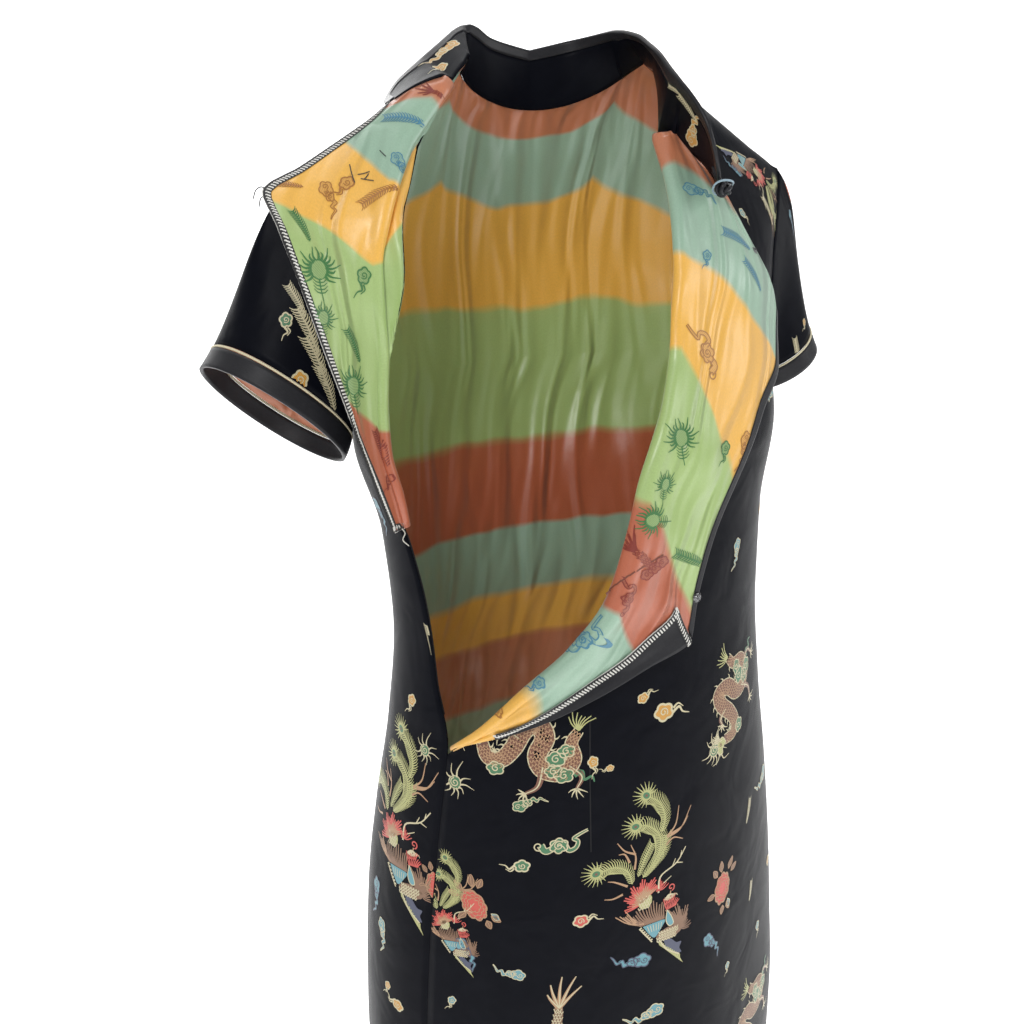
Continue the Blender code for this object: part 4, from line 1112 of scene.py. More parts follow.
def headings(path):
    """The direction at each point of a path and the one square to it."""
    way = np.gradient(path, axis=0)
    way = way / np.maximum(np.linalg.norm(way, axis=1)[:, None], 1e-6)
    return way, np.stack([-way[:, 1], way[:, 0]], axis=1)


def ribbon(sketch, path, width, silk, lift=LINE_LIFT):
    """A float of silk along a path; its width is one number, or one at each end."""
    path = np.array(path, float)
    way, aside = headings(path)
    wide, narrow = width if isinstance(width, tuple) else (width, width)
    half = np.linspace(wide, narrow, len(path))[:, None] / 2
    rows = np.stack([path - aside * half, path + aside * half], axis=1).reshape(-1, 2)
    made = bmesh.ops.create_grid(sketch, x_segments=1, y_segments=len(path) - 1, size=1.0)["verts"]
    for vertex, (x, y) in zip(made, rows):
        vertex.co = (x, y, lift)
    for face in {f for v in made for f in v.link_faces}:
        face.material_index = SILK_PLACE[silk]


def patch(sketch, outline, silk, lift=FILL_LIFT, rings=2):
    """A filled area inside a closed outline, round its middle."""
    outline = np.array(outline, float)
    middle = outline[:-1].mean(axis=0)
    points = [middle + (p - middle) * max(k / rings, 0.02) for k in range(rings + 1) for p in outline]
    made = bmesh.ops.create_grid(sketch, x_segments=len(outline) - 1, y_segments=rings, size=1.0)["verts"]
    for vertex, (x, y) in zip(made, points):
        vertex.co = (x, y, lift)
    for face in {f for v in made for f in v.link_faces}:
        face.material_index = SILK_PLACE[silk]


def closed(knots, count=30):
    """A smooth closed outline through a few points."""
    ring = list(knots) + [knots[0]]
    return bend(ring, count)


def draw_cloud(sketch, silk, edge="cream"):
    """Scalloped cloud head with two curls and a winding tail."""
    head = scallops(0, 0, 9.5, 7.5, 5, 0.4)
    side = scallops(-9.5, -2.5, 6.0, 4.6, 4, 0.2)
    tail = bend([(-12, -3), (-17, -6.5), (-21, -2.5), (-25, -5.5), (-30, -1.5), (-34, 1.0)], 26)
    for puff in (side, head):
        patch(sketch, puff, silk)
        ribbon(sketch, puff, 1.2, edge)
    ribbon(sketch, tail, (5.0, 1.0), silk, FILL_LIFT)
    for hand in (-1, 1):
        edge_path = tail + np.linspace(2.6, 0.3, len(tail))[:, None] * np.array([0.25 * hand, 1.0 * hand])
        ribbon(sketch, edge_path, (1.0, 0.8), edge)
    ribbon(sketch, spiral(2.6, 0.4, 3.6, 0.7, 200, 1.3), 0.9, edge, TOP_LIFT)
    ribbon(sketch, spiral(-4.0, 0.6, 2.6, 0.6, -20, -1.2), 0.9, edge, TOP_LIFT)
    ribbon(sketch, spiral(-9.5, -2.4, 2.4, 0.6, 60, 1.2), 0.8, edge, TOP_LIFT)


def draw_puff(sketch, silk, edge="cream"):
    """Small round cloud with one curl and a short tail."""
    head = scallops(0, 0, 6.2, 5.2, 5, 0.9)
    patch(sketch, head, silk)
    ribbon(sketch, head, 1.3, edge)
    ribbon(sketch, spiral(0.3, 0.0, 2.8, 0.6, 150, 1.3), 0.8, edge, TOP_LIFT)
    ribbon(sketch, bend([(-6, 0.5), (-10, -2.5), (-13, 0.5), (-18, 1.5)]), (1.9, 0.5), edge)
    ribbon(sketch, bend([(-6, -2), (-9, -4.5), (-13, -2.5)]), (1.4, 0.5), edge)


def draw_winding_cloud(sketch, silk, edge="cream"):
    """Long cloud of two heads joined by a winding band."""
    band = bend([(-17, 2), (-13, -4), (-7, -2), (-2, 3), (4, 1), (8, -5), (14, -3), (16, 3),
                 (12, 6), (18, 10), (25, 13)], 48)
    ribbon(sketch, band, (5.2, 1.8), silk, FILL_LIFT)
    _, aside = headings(band)
    for hand in (-1, 1):
        ribbon(sketch, band + hand * aside * np.linspace(3.0, 0.9, len(band))[:, None], 1.0, edge)
    head = scallops(-1, 0.5, 8.5, 7.5, 6, 0.2)
    patch(sketch, head, silk, LINE_LIFT)
    ribbon(sketch, head, 1.2, edge, TOP_LIFT)
    ribbon(sketch, spiral(-1, 0.5, 4.6, 0.8, 40, 1.6, 26), 1.0, edge, TOP_LIFT)
    ribbon(sketch, spiral(-19, 1, 4.4, 1.2, -60, -1.1), 1.1, edge)


def draw_pearl(sketch, silk="green", edge="cream"):
    """Flaming pearl: a curled ball with flames all round."""
    ball = scallops(0, 0, 6.0, 6.6, 3, 0.1, 0.08)
    patch(sketch, ball, silk)
    ribbon(sketch, spiral(0, 0, 4.6, 0.8, 100, 1.5, 24), 1.1, edge, TOP_LIFT)
    ribbon(sketch, ball, 0.9, edge)
    for angle, reach in ((70, 18), (100, 13), (130, 10), (20, 11), (-15, 14), (195, 12), (225, 9),
                         (-80, 11), (-105, 9), (-50, 8)):
        way, aside = heading(angle)
        path = bend([way * 5.5, way * (5.5 + reach * 0.4) + aside * 1.8, way * (5.5 + reach)], 8)
        ribbon(sketch, path, (1.9, 0.4), edge)


def draw_plume(sketch, knots, barb, eye=True, silk="straw"):
    """Peacock plume: barbs along both sides of a quill, with an eye at its end."""
    path = bend(knots, 60)
    steps = np.linalg.norm(np.diff(path, axis=0), axis=1)
    places = np.concatenate([[0.0], np.cumsum(steps)])
    whole = places[-1]
    way, _ = headings(path)
    ribbon(sketch, path[::3], (1.0, 0.7), silk, LINE_LIFT)
    for s in np.arange(1.0, whole - 1.0, 1.75):
        place = np.array([np.interp(s, places, path[:, i]) for i in range(2)])
        ahead = unit(np.array([np.interp(s, places, way[:, i]) for i in range(2)]))
        reach = barb * min(0.45 + s / whole * 1.3, 1.0)
        for hand in (-1, 1):
            aside = np.array([-ahead[1], ahead[0]]) * hand
            tip = place + (ahead * 0.70 + aside * 0.78) * reach
            middle = place + (ahead * 0.28 + aside * 0.50) * reach
            ribbon(sketch, [place, middle, tip], (1.15, 0.25), silk)
    if not eye:
        return
    ahead = way[-1]
    aside = np.array([-ahead[1], ahead[0]])
    centre = path[-1] + ahead * 2.0
    for angle in range(-130, 131, 20):
        turn = math.radians(angle)
        out = ahead * math.cos(turn) + aside * math.sin(turn)
        near = centre + out * 3.6
        ribbon(sketch, [near, near + out * barb * 0.35, near + out * barb * 0.85 + ahead * 1.2],
               (1.5, 0.3), silk)
    oval = np.array([centre + ahead * 4.6 * math.cos(a) + aside * 3.7 * math.sin(a)
                     for a in np.linspace(0, 2 * math.pi, 21)])
    patch(sketch, oval, silk, LINE_LIFT)
    patch(sketch, centre + (oval - centre) * 0.68, "green", TOP_LIFT)
    patch(sketch, centre + (oval - centre) * 0.26, "maroon", TOP_LIFT + 0.08)


def fan(sketch, foot, reach, first, last, count, width, silk, curl=0.0, lift=LINE_LIFT, spread=(0, 0)):
    """Feathers or petals spreading from a short line."""
    foot = np.array(foot, float)
    for k in range(count):
        share = k / max(count - 1, 1)
        way, aside = heading(first + (last - first) * share)
        start = foot + np.array(spread) * share
        size = reach * (0.86 + 0.14 * math.cos(5.0 * k))
        path = [start, start + way * size * 0.5 + aside * curl, start + way * size + aside * curl * 0.4]
        ribbon(sketch, bend(path, 6), (width * 0.75, width * 0.45), silk, lift)


def scale_rows(sketch, outline_rows, silk, width=0.6):
    """Scales: small bowed strokes between the two sides of a band."""
    for k, (near, far) in enumerate(outline_rows):
        near, far = np.array(near), np.array(far)
        count = max(2, round(float(np.linalg.norm(far - near)) / 2.6))
        across = (far - near) / count
        down = np.array([across[1], -across[0]]) * 0.85
        for j in range(count):
            start = near + across * (j + 0.5 * (k % 2) - 0.25)
            ribbon(sketch, [start, start + across * 0.25 + down * 0.7, start + across * 0.5 + down,
                            start + across * 0.75 + down * 0.7, start + across], width, silk, TOP_LIFT)


def draw_phoenix(sketch):
    """Flying phoenix: eyed tail plumes above, wings spread, head turned to the right."""
    draw_plume(sketch, [(6, 62), (9, 74), (4, 88), (-6, 96)], 8.5)
    draw_plume(sketch, [(-11, 28), (3, 44), (4, 60), (-6, 71), (-15, 73)], 8.5)
    draw_plume(sketch, [(-20, 25), (-24, 37), (-35, 43), (-47, 41)], 8.5)
    draw_plume(sketch, [(-15, 30), (-9, 44), (-2, 56)], 5.5, eye=False)
    draw_plume(sketch, [(-9, 29), (0, 37), (9, 48), (10, 60)], 6.0, eye=False)
    for knots in (
        [(11, 57), (19, 65), (22, 80)], [(11, 56), (24, 60), (34, 76)], [(14, 58), (25, 61), (31, 68)],
        [(10, 50), (17, 54), (26, 50)], [(-18, 37), (-17, 48), (-21, 59)],
        [(-22, 44), (-26, 52), (-31, 53)], [(-24, 24), (-34, 30), (-40, 32)],
        [(-28, 18), (-36, 16), (-43, 17)], [(-17, 50), (-26, 55), (-32, 63)],
    ):
        ribbon(sketch, bend(knots, 12), (1.9, 0.6), "rose")
    fan(sketch, (-9, 8), 19, 25, 200, 26, 2.4, "coral", 1.6)
    fan(sketch, (-9, 8), 12, 30, 195, 16, 2.0, "rose", 1.0, TOP_LIFT)
    fan(sketch, (1, 12), 12, 20, 75, 5, 1.6, "coral", -2.0)
    rump = scallops(-9, 6.5, 6.4, 6.8, 7, 0.3, 0.06)
    patch(sketch, rump, "straw", LINE_LIFT)
    scale_rows(sketch, [((-13.5 - 0.2 * k, 11 - 2.3 * k), (-4.5, 11 - 2.3 * k)) for k in range(5)],
               "cream", 0.8)
    fan(sketch, (-12, -15), 20, 140, 84, 15, 2.1, "brown", 1.4, LINE_LIFT, (20, 0))
    fan(sketch, (-13, -14), 25, 146, 132, 5, 1.8, "rose", 2.2, LINE_LIFT, (3, 0))
    cape = closed([(-11, -16), (0, -15.5), (9, -16), (6, -22), (0, -29), (-5, -25)])
    patch(sketch, cape, "blue", LINE_LIFT)
    for k in range(7):
        x, y = -12 + 1.6 * k, -16.5 - 2.2 * k
        ribbon(sketch, [(x, y), (x - 1.8, y - 1.0), (x - 0.3, y - 2.6)], (1.7, 1.2), "cream", TOP_LIFT)
    for k in range(6):
        ribbon(sketch, [(-7 + 2.6 * k, -17), (-5 + 2.0 * k, -23)], 0.5, "cream", TOP_LIFT)
    fan(sketch, (18, -27), 21, 118, 40, 13, 2.0, "brown", -3.4)
    fan(sketch, (22, -27), 13, 60, -20, 7, 1.8, "brown", -2.4)
    breast = closed([(11, -8), (15, -15), (17, -22), (13, -23), (10, -17)])
    patch(sketch, breast, "blue", TOP_LIFT)
    ribbon(sketch, breast, 0.8, "cream", TOP_LIFT + 0.06)
    fan(sketch, (11, -8), 8, 105, 50, 8, 1.6, "coral", 0.6, LINE_LIFT, (8, 1))
    fan(sketch, (10, -3), 6.5, 110, 60, 7, 1.5, "coral", 0.6, TOP_LIFT, (7, 2))
    face = closed([(8, 2), (12, 5.5), (16, 5), (18.5, 3), (15, 1), (11, 0.5)])
    patch(sketch, face, "cream", TOP_LIFT)
    ribbon(sketch, [(17, 4), (20, 3.5), (21, 1.8)], (1.4, 0.4), "cream", TOP_LIFT)
    ribbon(sketch, [(13.5, 3.4), (14.6, 3.4)], 0.9, "maroon", TOP_LIFT + 0.1)
    ribbon(sketch, spiral(15, 11, 3.4, 0.8, -80, 1.1), 1.1, "coral")
    ribbon(sketch, [(14, 5), (14.5, 8)], 1.0, "rose")
    back = scallops(13, -29.5, 12.0, 5.6, 9, 0.2, 0.08)
    patch(sketch, back, "brown", LINE_LIFT)
    scale_rows(sketch, [((4 - k, -25.5 - 2.4 * k), (22 - k, -25.5 - 2.4 * k)) for k in range(4)],
               "cream", 0.95)
    tail = closed([(8, -35), (14, -35), (20, -41), (25, -42), (23, -47), (25, -52), (17, -50), (11, -43)])
    patch(sketch, tail, "mauve", LINE_LIFT)
    for k in range(12):
        share = k / 11
        x, y = 4 + 19 * share, -34 - 19.5 * share
        ribbon(sketch, bend([(x, y), (x + 0.4, y - 3.5), (x + 3.5, y - 7.0 - 2 * share)], 5), (1.7, 0.4),
               "straw")
    ribbon(sketch, bend([(4, -33), (11, -44), (23, -53)], 10), 1.2, "cream", TOP_LIFT)
    ribbon(sketch, bend([(3, 10), (5, 24), (20, 31), (29, 42)], 14), (1.6, 0.9), "cream")
    for place, tip in (((20, 31), (26, 29)), ((16, 29), (19, 35)), ((24, 35), (25, 40)),
                       ((4, 15), (15, 21))):
        ribbon(sketch, [place, tip], (1.1, 0.6), "cream")


def draw_peony(sketch):
    """Peony with crowded petals, brown leaves and a small blue bud."""
    bloom = scallops(0, 0, 9.5, 14.5, 9, 0.3, 0.14)
    patch(sketch, bloom, "coral")
    ribbon(sketch, bloom, 0.9, "rose")
    for ring, size in ((1, 0.34), (2, 0.58), (3, 0.80)):
        count = 4 + 3 * ring
        for k in range(count):
            angle = 2 * math.pi * (k + 0.4 * ring) / count
            x, y = 9.0 * size * math.cos(angle), 13.5 * size * math.sin(angle)
            ribbon(sketch, spiral(x, y, 2.5, 1.7, math.degrees(angle) - 80, 0.45, 7), 0.65, "rose", TOP_LIFT)
    for x, y, turn, size in ((-8, 12, 130, 9), (-3, 15, 100, 10), (6, 15, 65, 11), (10, 12, 40, 9),
                             (-9, -3, 195, 9), (8, -14, -60, 9), (3, -16, -95, 8)):
        way, aside = heading(turn)
        foot = np.array([x, y])
        leaf = closed([foot, foot + way * size * 0.4 + aside * 2.6, foot + way * size,
                       foot + way * size * 0.45 - aside * 2.6], 16)
        patch(sketch, leaf, "brown")
        ribbon(sketch, leaf, 0.6, "rose")
        ribbon(sketch, [foot, foot + way * size * 0.85], 0.5, "rose", TOP_LIFT)
    bud = closed([(9, -12), (13, -15), (12, -20), (9, -18)], 14)
    patch(sketch, bud, "blue")
    ribbon(sketch, bud, 0.6, "cream")


def draw_dragon(sketch):
    """Coiling dragon: scaled body, spined back, clawed legs and a maned head."""
    body = bend([(-40, 24), (-36, 12), (-26, 10), (-16, 20), (-8, 34), (2, 40), (8, 28), (2, 14),
                 (6, 2), (20, -2), (30, 8), (28, 22), (34, 32)], 120)
    girth = 4.5 + 10.5 * np.sin(np.linspace(0.12, 0.93, len(body)) * math.pi) ** 0.8
    way, aside = headings(body)
    for i in range(0, len(body) - 6, 6):
        ribbon(sketch, body[i:i + 8], (girth[i], girth[min(i + 7, len(body) - 1)]), "maroon", FILL_LIFT)
    for hand in (-1, 1):
        ribbon(sketch, body + hand * aside * girth[:, None] / 2, 0.9, "cream")
    rows = []
    for i in range(2, len(body) - 2, 2):
        half = aside[i] * girth[i] * 0.46
        rows.append((body[i] - half, body[i] + half))
    scale_rows(sketch, rows, "rose", 0.75)
    for i in range(4, len(body) - 4, 4):
        root = body[i] + aside[i] * girth[i] / 2
        ribbon(sketch, [root, root + aside[i] * 2.2 - way[i] * 0.8, root + aside[i] * 3.6 - way[i] * 3.2],
               (1.8, 0.3), "cream")
    for root, knee, foot, turn in (((-12, 28), (-20, 34), (-26, 30), 170),
                                   ((6, 4), (2, -12), (-8, -18), 215),
                                   ((26, 4), (36, -6), (32, -16), 265)):
        leg = bend([root, knee, foot], 12)
        ribbon(sketch, leg, (6.0, 2.6), "maroon", LINE_LIFT)
        ribbon(sketch, leg, (1.2, 0.8), "cream", TOP_LIFT)
        for k in range(5):
            claw, _ = heading(turn - 72 + 36 * k)
            path = bend([foot, foot + claw * 4.5, foot + claw * 8 + (1.2, -1.0)], 6)
            ribbon(sketch, path, (1.7, 0.4), "cream", TOP_LIFT)
    for x, y, wide in ((16, 10, 8), (24, 16, 7), (14, 0, 7), (-30, 3, 7), (22, -4, 8)):
        puff = scallops(x, y, wide, wide * 0.8, 5, 0.3)
        patch(sketch, puff, "green", TOP_LIFT)
        ribbon(sketch, puff, 1.0, "cream", TOP_LIFT + 0.08)
        ribbon(sketch, spiral(x, y, wide * 0.45, 0.7, 60, 1.2), 0.9, "cream", TOP_LIFT + 0.08)
    ribbon(sketch, bend([(30, -5), (36, -2), (38, -9), (44, -7), (46, -12)], 20), (4.0, 1.0), "green")
    head = closed([(-42, 22), (-47, 26), (-52, 25), (-53, 30), (-47, 33), (-41, 33), (-37, 28)], 26)
    patch(sketch, head, "straw", LINE_LIFT)
    ribbon(sketch, head, 0.9, "cream", TOP_LIFT)
    ribbon(sketch, spiral(-44, 29, 1.7, 0.5, 0, 1.1, 10), 0.8, "maroon", TOP_LIFT + 0.08)
    fan(sketch, (-40, 31), 12, 20, 100, 9, 1.7, "cream", 1.5)
    for knots in ([(-52, 27), (-57, 22), (-54, 15)], [(-52, 29), (-59, 31), (-62, 37)],
                  [(-45, 33), (-44, 39), (-49, 44)], [(-41, 33), (-38, 40), (-40, 46)]):
        ribbon(sketch, bend(knots, 10), (1.4, 0.5), "cream")
    fan(sketch, (34, 32), 16, 30, 120, 7, 1.6, "straw", 2.0)


def draw_claw(sketch):
    """Dragon's foot reaching up out of a cloud."""
    leg = bend([(-2, -26), (0, -12), (-1, 0)], 14)
    ribbon(sketch, leg, (9.0, 6.0), "brown", FILL_LIFT)
    scale_rows(sketch, [((-4.5 + 0.1 * k, -24 + 2.6 * k), (3.5 - 0.1 * k, -24 + 2.6 * k)) for k in range(9)],
               "cream", 0.7)
    for turn, size in ((150, 15), (125, 20), (98, 24), (72, 25), (48, 20)):
        way, _ = heading(turn)
        finger = bend([(-0.5, -3), way * size * 0.6, way * size + (1.6, 2.0)], 12)
        ribbon(sketch, finger, (3.4, 1.0), "rose")
        ribbon(sketch, finger + (0.2, 0.2), (0.9, 0.6), "cream", TOP_LIFT)
    for x in (-9, 0, 9):
        puff = scallops(x, -28, 6.5, 5.5, 5, 0.5)
        patch(sketch, puff, "blue", LINE_LIFT)
        ribbon(sketch, puff, 1.0, "cream", TOP_LIFT)
        ribbon(sketch, spiral(x, -28, 2.8, 0.6, 30, 1.2), 0.8, "cream", TOP_LIFT + 0.06)


def draw_frond(sketch):
    draw_plume(sketch, [(0, -14), (1, 0), (0, 13)], 4.5, eye=False, silk="cream")


def draw_eye(sketch):
    """Peacock's eye: a pale oval with fine curled barbs round its upper side."""
    for k in range(17):
        way, aside = heading(-40 + 16.2 * k)
        hook = aside * (1 if k > 8 else -1)
        reach = 11.5 + 2.2 * math.sin(2.4 * k)
        path = bend([way * 4.2, way * 8.0 + hook * 0.7, way * reach - hook * 0.8], 8)
        ribbon(sketch, path, (1.7, 0.4), "straw")
    for k in range(5):
        foot = np.array([0.2 * k, -5.0 - 1.9 * k])
        for hand in (-1, 1):
            ribbon(sketch, [foot, foot + (hand * 2.4, 0.4), foot + (hand * 4.4, 2.2)], (0.8, 0.3), "straw")
    ribbon(sketch, bend([(0, -4), (0.6, -10), (2.0, -17)], 10), (1.1, 0.5), "straw")
    oval = scallops(0, 0, 4.4, 5.2, 2, 0.0, 0.02, 24)
    patch(sketch, oval, "brown", TOP_LIFT)
    ribbon(sketch, oval, 0.8, "straw", TOP_LIFT)
    patch(sketch, oval * 0.55, "green", TOP_LIFT + 0.06)


DRAWINGS = {
    "eye": draw_eye,
    "phoenix": draw_phoenix,
    "dragon": draw_dragon,
    "peony": draw_peony,
    "pearl": draw_pearl,
    "claw": draw_claw,
    "frond": draw_frond,
}
for silk_name in ("green", "blue", "gold", "coral"):
    DRAWINGS["cloud_" + silk_name] = lambda sketch, silk=silk_name: draw_cloud(sketch, silk)
    DRAWINGS["puff_" + silk_name] = lambda sketch, silk=silk_name: draw_puff(sketch, silk)
    DRAWINGS["winding_" + silk_name] = lambda sketch, silk=silk_name: draw_winding_cloud(sketch, silk)
DRAWINGS["mist_blue"] = lambda sketch: draw_cloud(sketch, "blue", "mauve")

drawings = {}
for kind, draw in DRAWINGS.items():
    sketch = bmesh.new()
    draw(sketch)
    flat_drawing = bpy.data.meshes.new("drawing_" + kind)
    sketch.to_mesh(flat_drawing)
    sketch.free()
    places = np.empty(len(flat_drawing.vertices) * 3)
    flat_drawing.vertices.foreach_get("co", places)
    drawings[kind] = (flat_drawing, places.reshape(-1, 3))


def cloth_tree(rows):
    """Search tree of a cloth's surface, from its rows of points."""
    across = len(rows[0])
    points = [Vector(p) for row in rows for p in row]
    quads = [
        (i * across + j, i * across + j + 1, (i + 1) * across + j + 1, (i + 1) * across + j)
        for i in range(len(rows) - 1)
        for j in range(across - 1)
    ]
    return BVHTree.FromPolygons(points, quads)


def picture_ray(u, v):
    """The line of sight through a place in the picture."""
    aside = (u - PICTURE / 2) / FOCAL_PIXELS
    up = (PICTURE / 2 - v) / FOCAL_PIXELS
    return (EYE_RIGHT * aside + EYE_UP * up - EYE_BACK).normalized()


def seen_place(tree, u, v):
    """Where a place in the picture lies on the cloth, with the way that it faces there."""
    way = picture_ray(u, v)
    spot, normal, _, _ = tree.ray_cast(EYE, way)
    if spot is not None and normal.dot(way) > 0:
        normal = -normal
    return spot, normal


def lay_drawing(joined, tree, kind, spot, outward_way, size, turn, curve, raised=0.0, paint=None):
    """Lay one drawing on the cloth round a spot, wrapped over it and cut at its edge."""
    flat_drawing, places = drawings[kind]
    facing = Vector(outward_way).normalized()
    up = Vector((0.0, 0.0, 1.0))
    up = (up - facing * up.dot(facing)).normalized()
    right = up.cross(facing)
    angle = math.radians(turn)
    x = (places[:, 0] * math.cos(angle) - places[:, 1] * math.sin(angle)) * size / 1000
    y = (places[:, 0] * math.sin(angle) + places[:, 1] * math.cos(angle)) * size / 1000
    over = x / curve
    right, up, out = np.array(right), np.array(up), np.array(facing)
    aim = out[None, :] * np.cos(over)[:, None] + right[None, :] * np.sin(over)[:, None]
    start = np.array(spot) + right * (curve * np.sin(over))[:, None]
    start = start + out * (curve * (np.cos(over) - 1))[:, None] + up * y[:, None] + aim * 0.03
    laid = bmesh.new()
    laid.from_mesh(flat_drawing)
    missed = []
    for i, vertex in enumerate(laid.verts):
        hit, normal, _, _ = tree.ray_cast(Vector(start[i]), Vector(-aim[i]), 0.055)
        if hit is None:
            missed.append(vertex)
            continue
        if normal.dot(Vector(aim[i])) < 0:
            normal = -normal
        vertex.co = hit + normal * (raised + places[i, 2] / 1000)
    if missed:
        bmesh.ops.delete(laid, geom=missed, context="VERTS")
    if paint:
        for face in laid.faces:
            face.material_index = paint[face.material_index]
    laid_mesh = bpy.data.meshes.new("laid")
    laid.to_mesh(laid_mesh)
    laid.free()
    joined.from_mesh(laid_mesh)
    bpy.data.meshes.remove(laid_mesh)


def motif_piece(name, joined, materials):
    for face in joined.faces:
        face.smooth = True
    mesh = bpy.data.meshes.new(name)
    joined.to_mesh(mesh)
    joined.free()
    for material in materials:
        mesh.materials.append(material)
    piece = bpy.data.objects.new(name, mesh)
    bpy.context.scene.collection.objects.link(piece)
    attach(piece, "root")
    return piece


def woven_figures(name, tree, table, curve):
    """Figures of one cloth, from a table of kind, place in the picture, size and turn."""
    joined = bmesh.new()
    for kind, u, v, size, turn in table:
        spot, normal = seen_place(tree, u, v)
        if spot is not None:
            lay_drawing(joined, tree, kind, spot, normal, size, turn, curve)
    return motif_piece(name, joined, silk_threads)


# Woven motifs, front and back: phoenixes, dragons, pearls and peonies among clouds, in
# the order that shows in front; the pattern goes on round the sides and the back.
BODY_CURVE = 0.16
FRONT_FIGURES = (
    ("phoenix", 655, 905, 1.0, 0), ("peony", 722, 888, 1.0, -8), ("peony", 474, 905, 0.95, 28),
    ("dragon", 535, 772, 0.95, 0), ("cloud_green", 520, 806, 0.62, 190), ("pearl", 455, 782, 0.8, 0),
    ("winding_green", 560, 846, 0.85, 0), ("puff_green", 522, 866, 0.95, 0),
    ("puff_coral", 581, 921, 1.0, 180), ("mist_blue", 642, 960, 0.85, -20),
    ("mist_blue", 708, 940, 0.72, 120), ("cloud_blue", 655, 1010, 0.85, 0),
    ("cloud_blue", 518, 975, 0.62, -25), ("mist_blue", 462, 945, 0.7, 110),
    ("puff_gold", 593, 762, 0.75, 90), ("puff_gold", 664, 712, 1.35, 170),
    ("puff_gold", 643, 698, 0.75, 200), ("cloud_blue", 737, 545, 0.6, 70),
    ("dragon", 742, 690, 0.9, 78), ("pearl", 714, 750, 0.85, 0), ("puff_blue", 727, 965, 0.55, 70),
    ("claw", 560, 1005, 1.0, -8), ("puff_blue", 452, 1000, 0.6, 60),
    ("puff_gold", 610, 768, 0.5, 0), ("frond", 748, 810, 0.8, -20),
    ("dragon", 758, 1005, 0.95, 80), ("frond", 750, 890, 0.7, -10), ("puff_blue", 757, 925, 0.7, 90),
    ("phoenix", 452, 930, 0.62, 0),
)
SHOULDER_FIGURES = (
    ("phoenix", 752, 172, 0.62, -150), ("mist_blue", 738, 172, 0.5, -60),
    ("puff_blue", 742, 213, 0.62, 120), ("frond", 768, 210, 0.9, 20), ("puff_coral", 787, 287, 0.7, 60),
)
front_tree = cloth_tree(front_rows)
front_figures = woven_figures("front_woven_figures", front_tree, FRONT_FIGURES + SHOULDER_FIGURES,
                              BODY_CURVE)

REPEAT = (
    ("phoenix", 0.0, 0.0, 1.0, 0), ("peony", 0.060, -0.010, 1.0, -8), ("cloud_blue", 0.004, -0.085, 0.85, 0),
    ("mist_blue", -0.012, -0.046, 0.85, -20), ("mist_blue", 0.042, -0.032, 0.72, 120),
    ("puff_coral", -0.055, -0.020, 0.85, 180), ("winding_green", -0.075, 0.040, 0.85, 0),
    ("puff_green", -0.105, 0.028, 0.95, 0), ("dragon", -0.095, 0.105, 0.95, 0),
    ("pearl", 0.048, 0.118, 0.85, 0), ("puff_gold", 0.010, 0.150, 0.9, 160),
    ("claw", -0.070, -0.085, 1.0, -8), ("frond", 0.085, 0.060, 0.8, -20),
    ("puff_blue", 0.075, -0.060, 0.6, 70), ("cloud_blue", -0.105, -0.060, 0.62, -25),
)
REPEAT_ACROSS = 0.235
REPEAT_DOWN = 0.330


def repeated_figures(name, tree, first_bearing, last_bearing):
    """The pattern's repeat laid round the body, from one bearing to another."""
    joined = bmesh.new()
    level = -0.155
    while level > HEM_Z - 0.1:
        bearing = first_bearing
        while bearing < last_bearing:
            for kind, right, up, size, turn in REPEAT:
                z = level + up
                if not HEM_Z - 0.05 < z < -0.02:
                    continue
                place = nudge_bearing(bearing, z, right)
                if not first_bearing < place < last_bearing:
                    continue
                spot = body_point(place, z)
                lay_drawing(joined, tree, kind, spot, outward(place, z), size, turn, BODY_CURVE)
            bearing = nudge_bearing(bearing, -0.6, REPEAT_ACROSS)
        level -= REPEAT_DOWN
    return motif_piece(name, joined, silk_threads)


front_side_figures = repeated_figures("front_side_figures", front_tree, 52.0, 95.0)
back_tree = cloth_tree(back_rows)
BACK_SIDE_FIGURES = (
    ("phoenix", 400, 850, 1.0, 0), ("pearl", 425, 750, 0.7, 0), ("puff_gold", 412, 700, 0.8, 60),
    ("mist_blue", 377, 885, 0.8, 80), ("cloud_blue", 382, 925, 0.7, 90), ("puff_gold", 388, 985, 0.6, 60),
    ("puff_gold", 398, 1005, 0.9, -20), ("peony", 380, 535, 0.8, 20), ("peony", 434, 885, 0.75, 0),
    ("mist_blue", 377, 505, 0.7, 100), ("frond", 430, 640, 0.9, 10), ("frond", 432, 965, 0.6, 10),
)
back_side_figures = woven_figures("back_side_figures", back_tree, BACK_SIDE_FIGURES, BODY_CURVE)
back_figures = repeated_figures("back_woven_figures", back_tree, 92.0, 258.0)

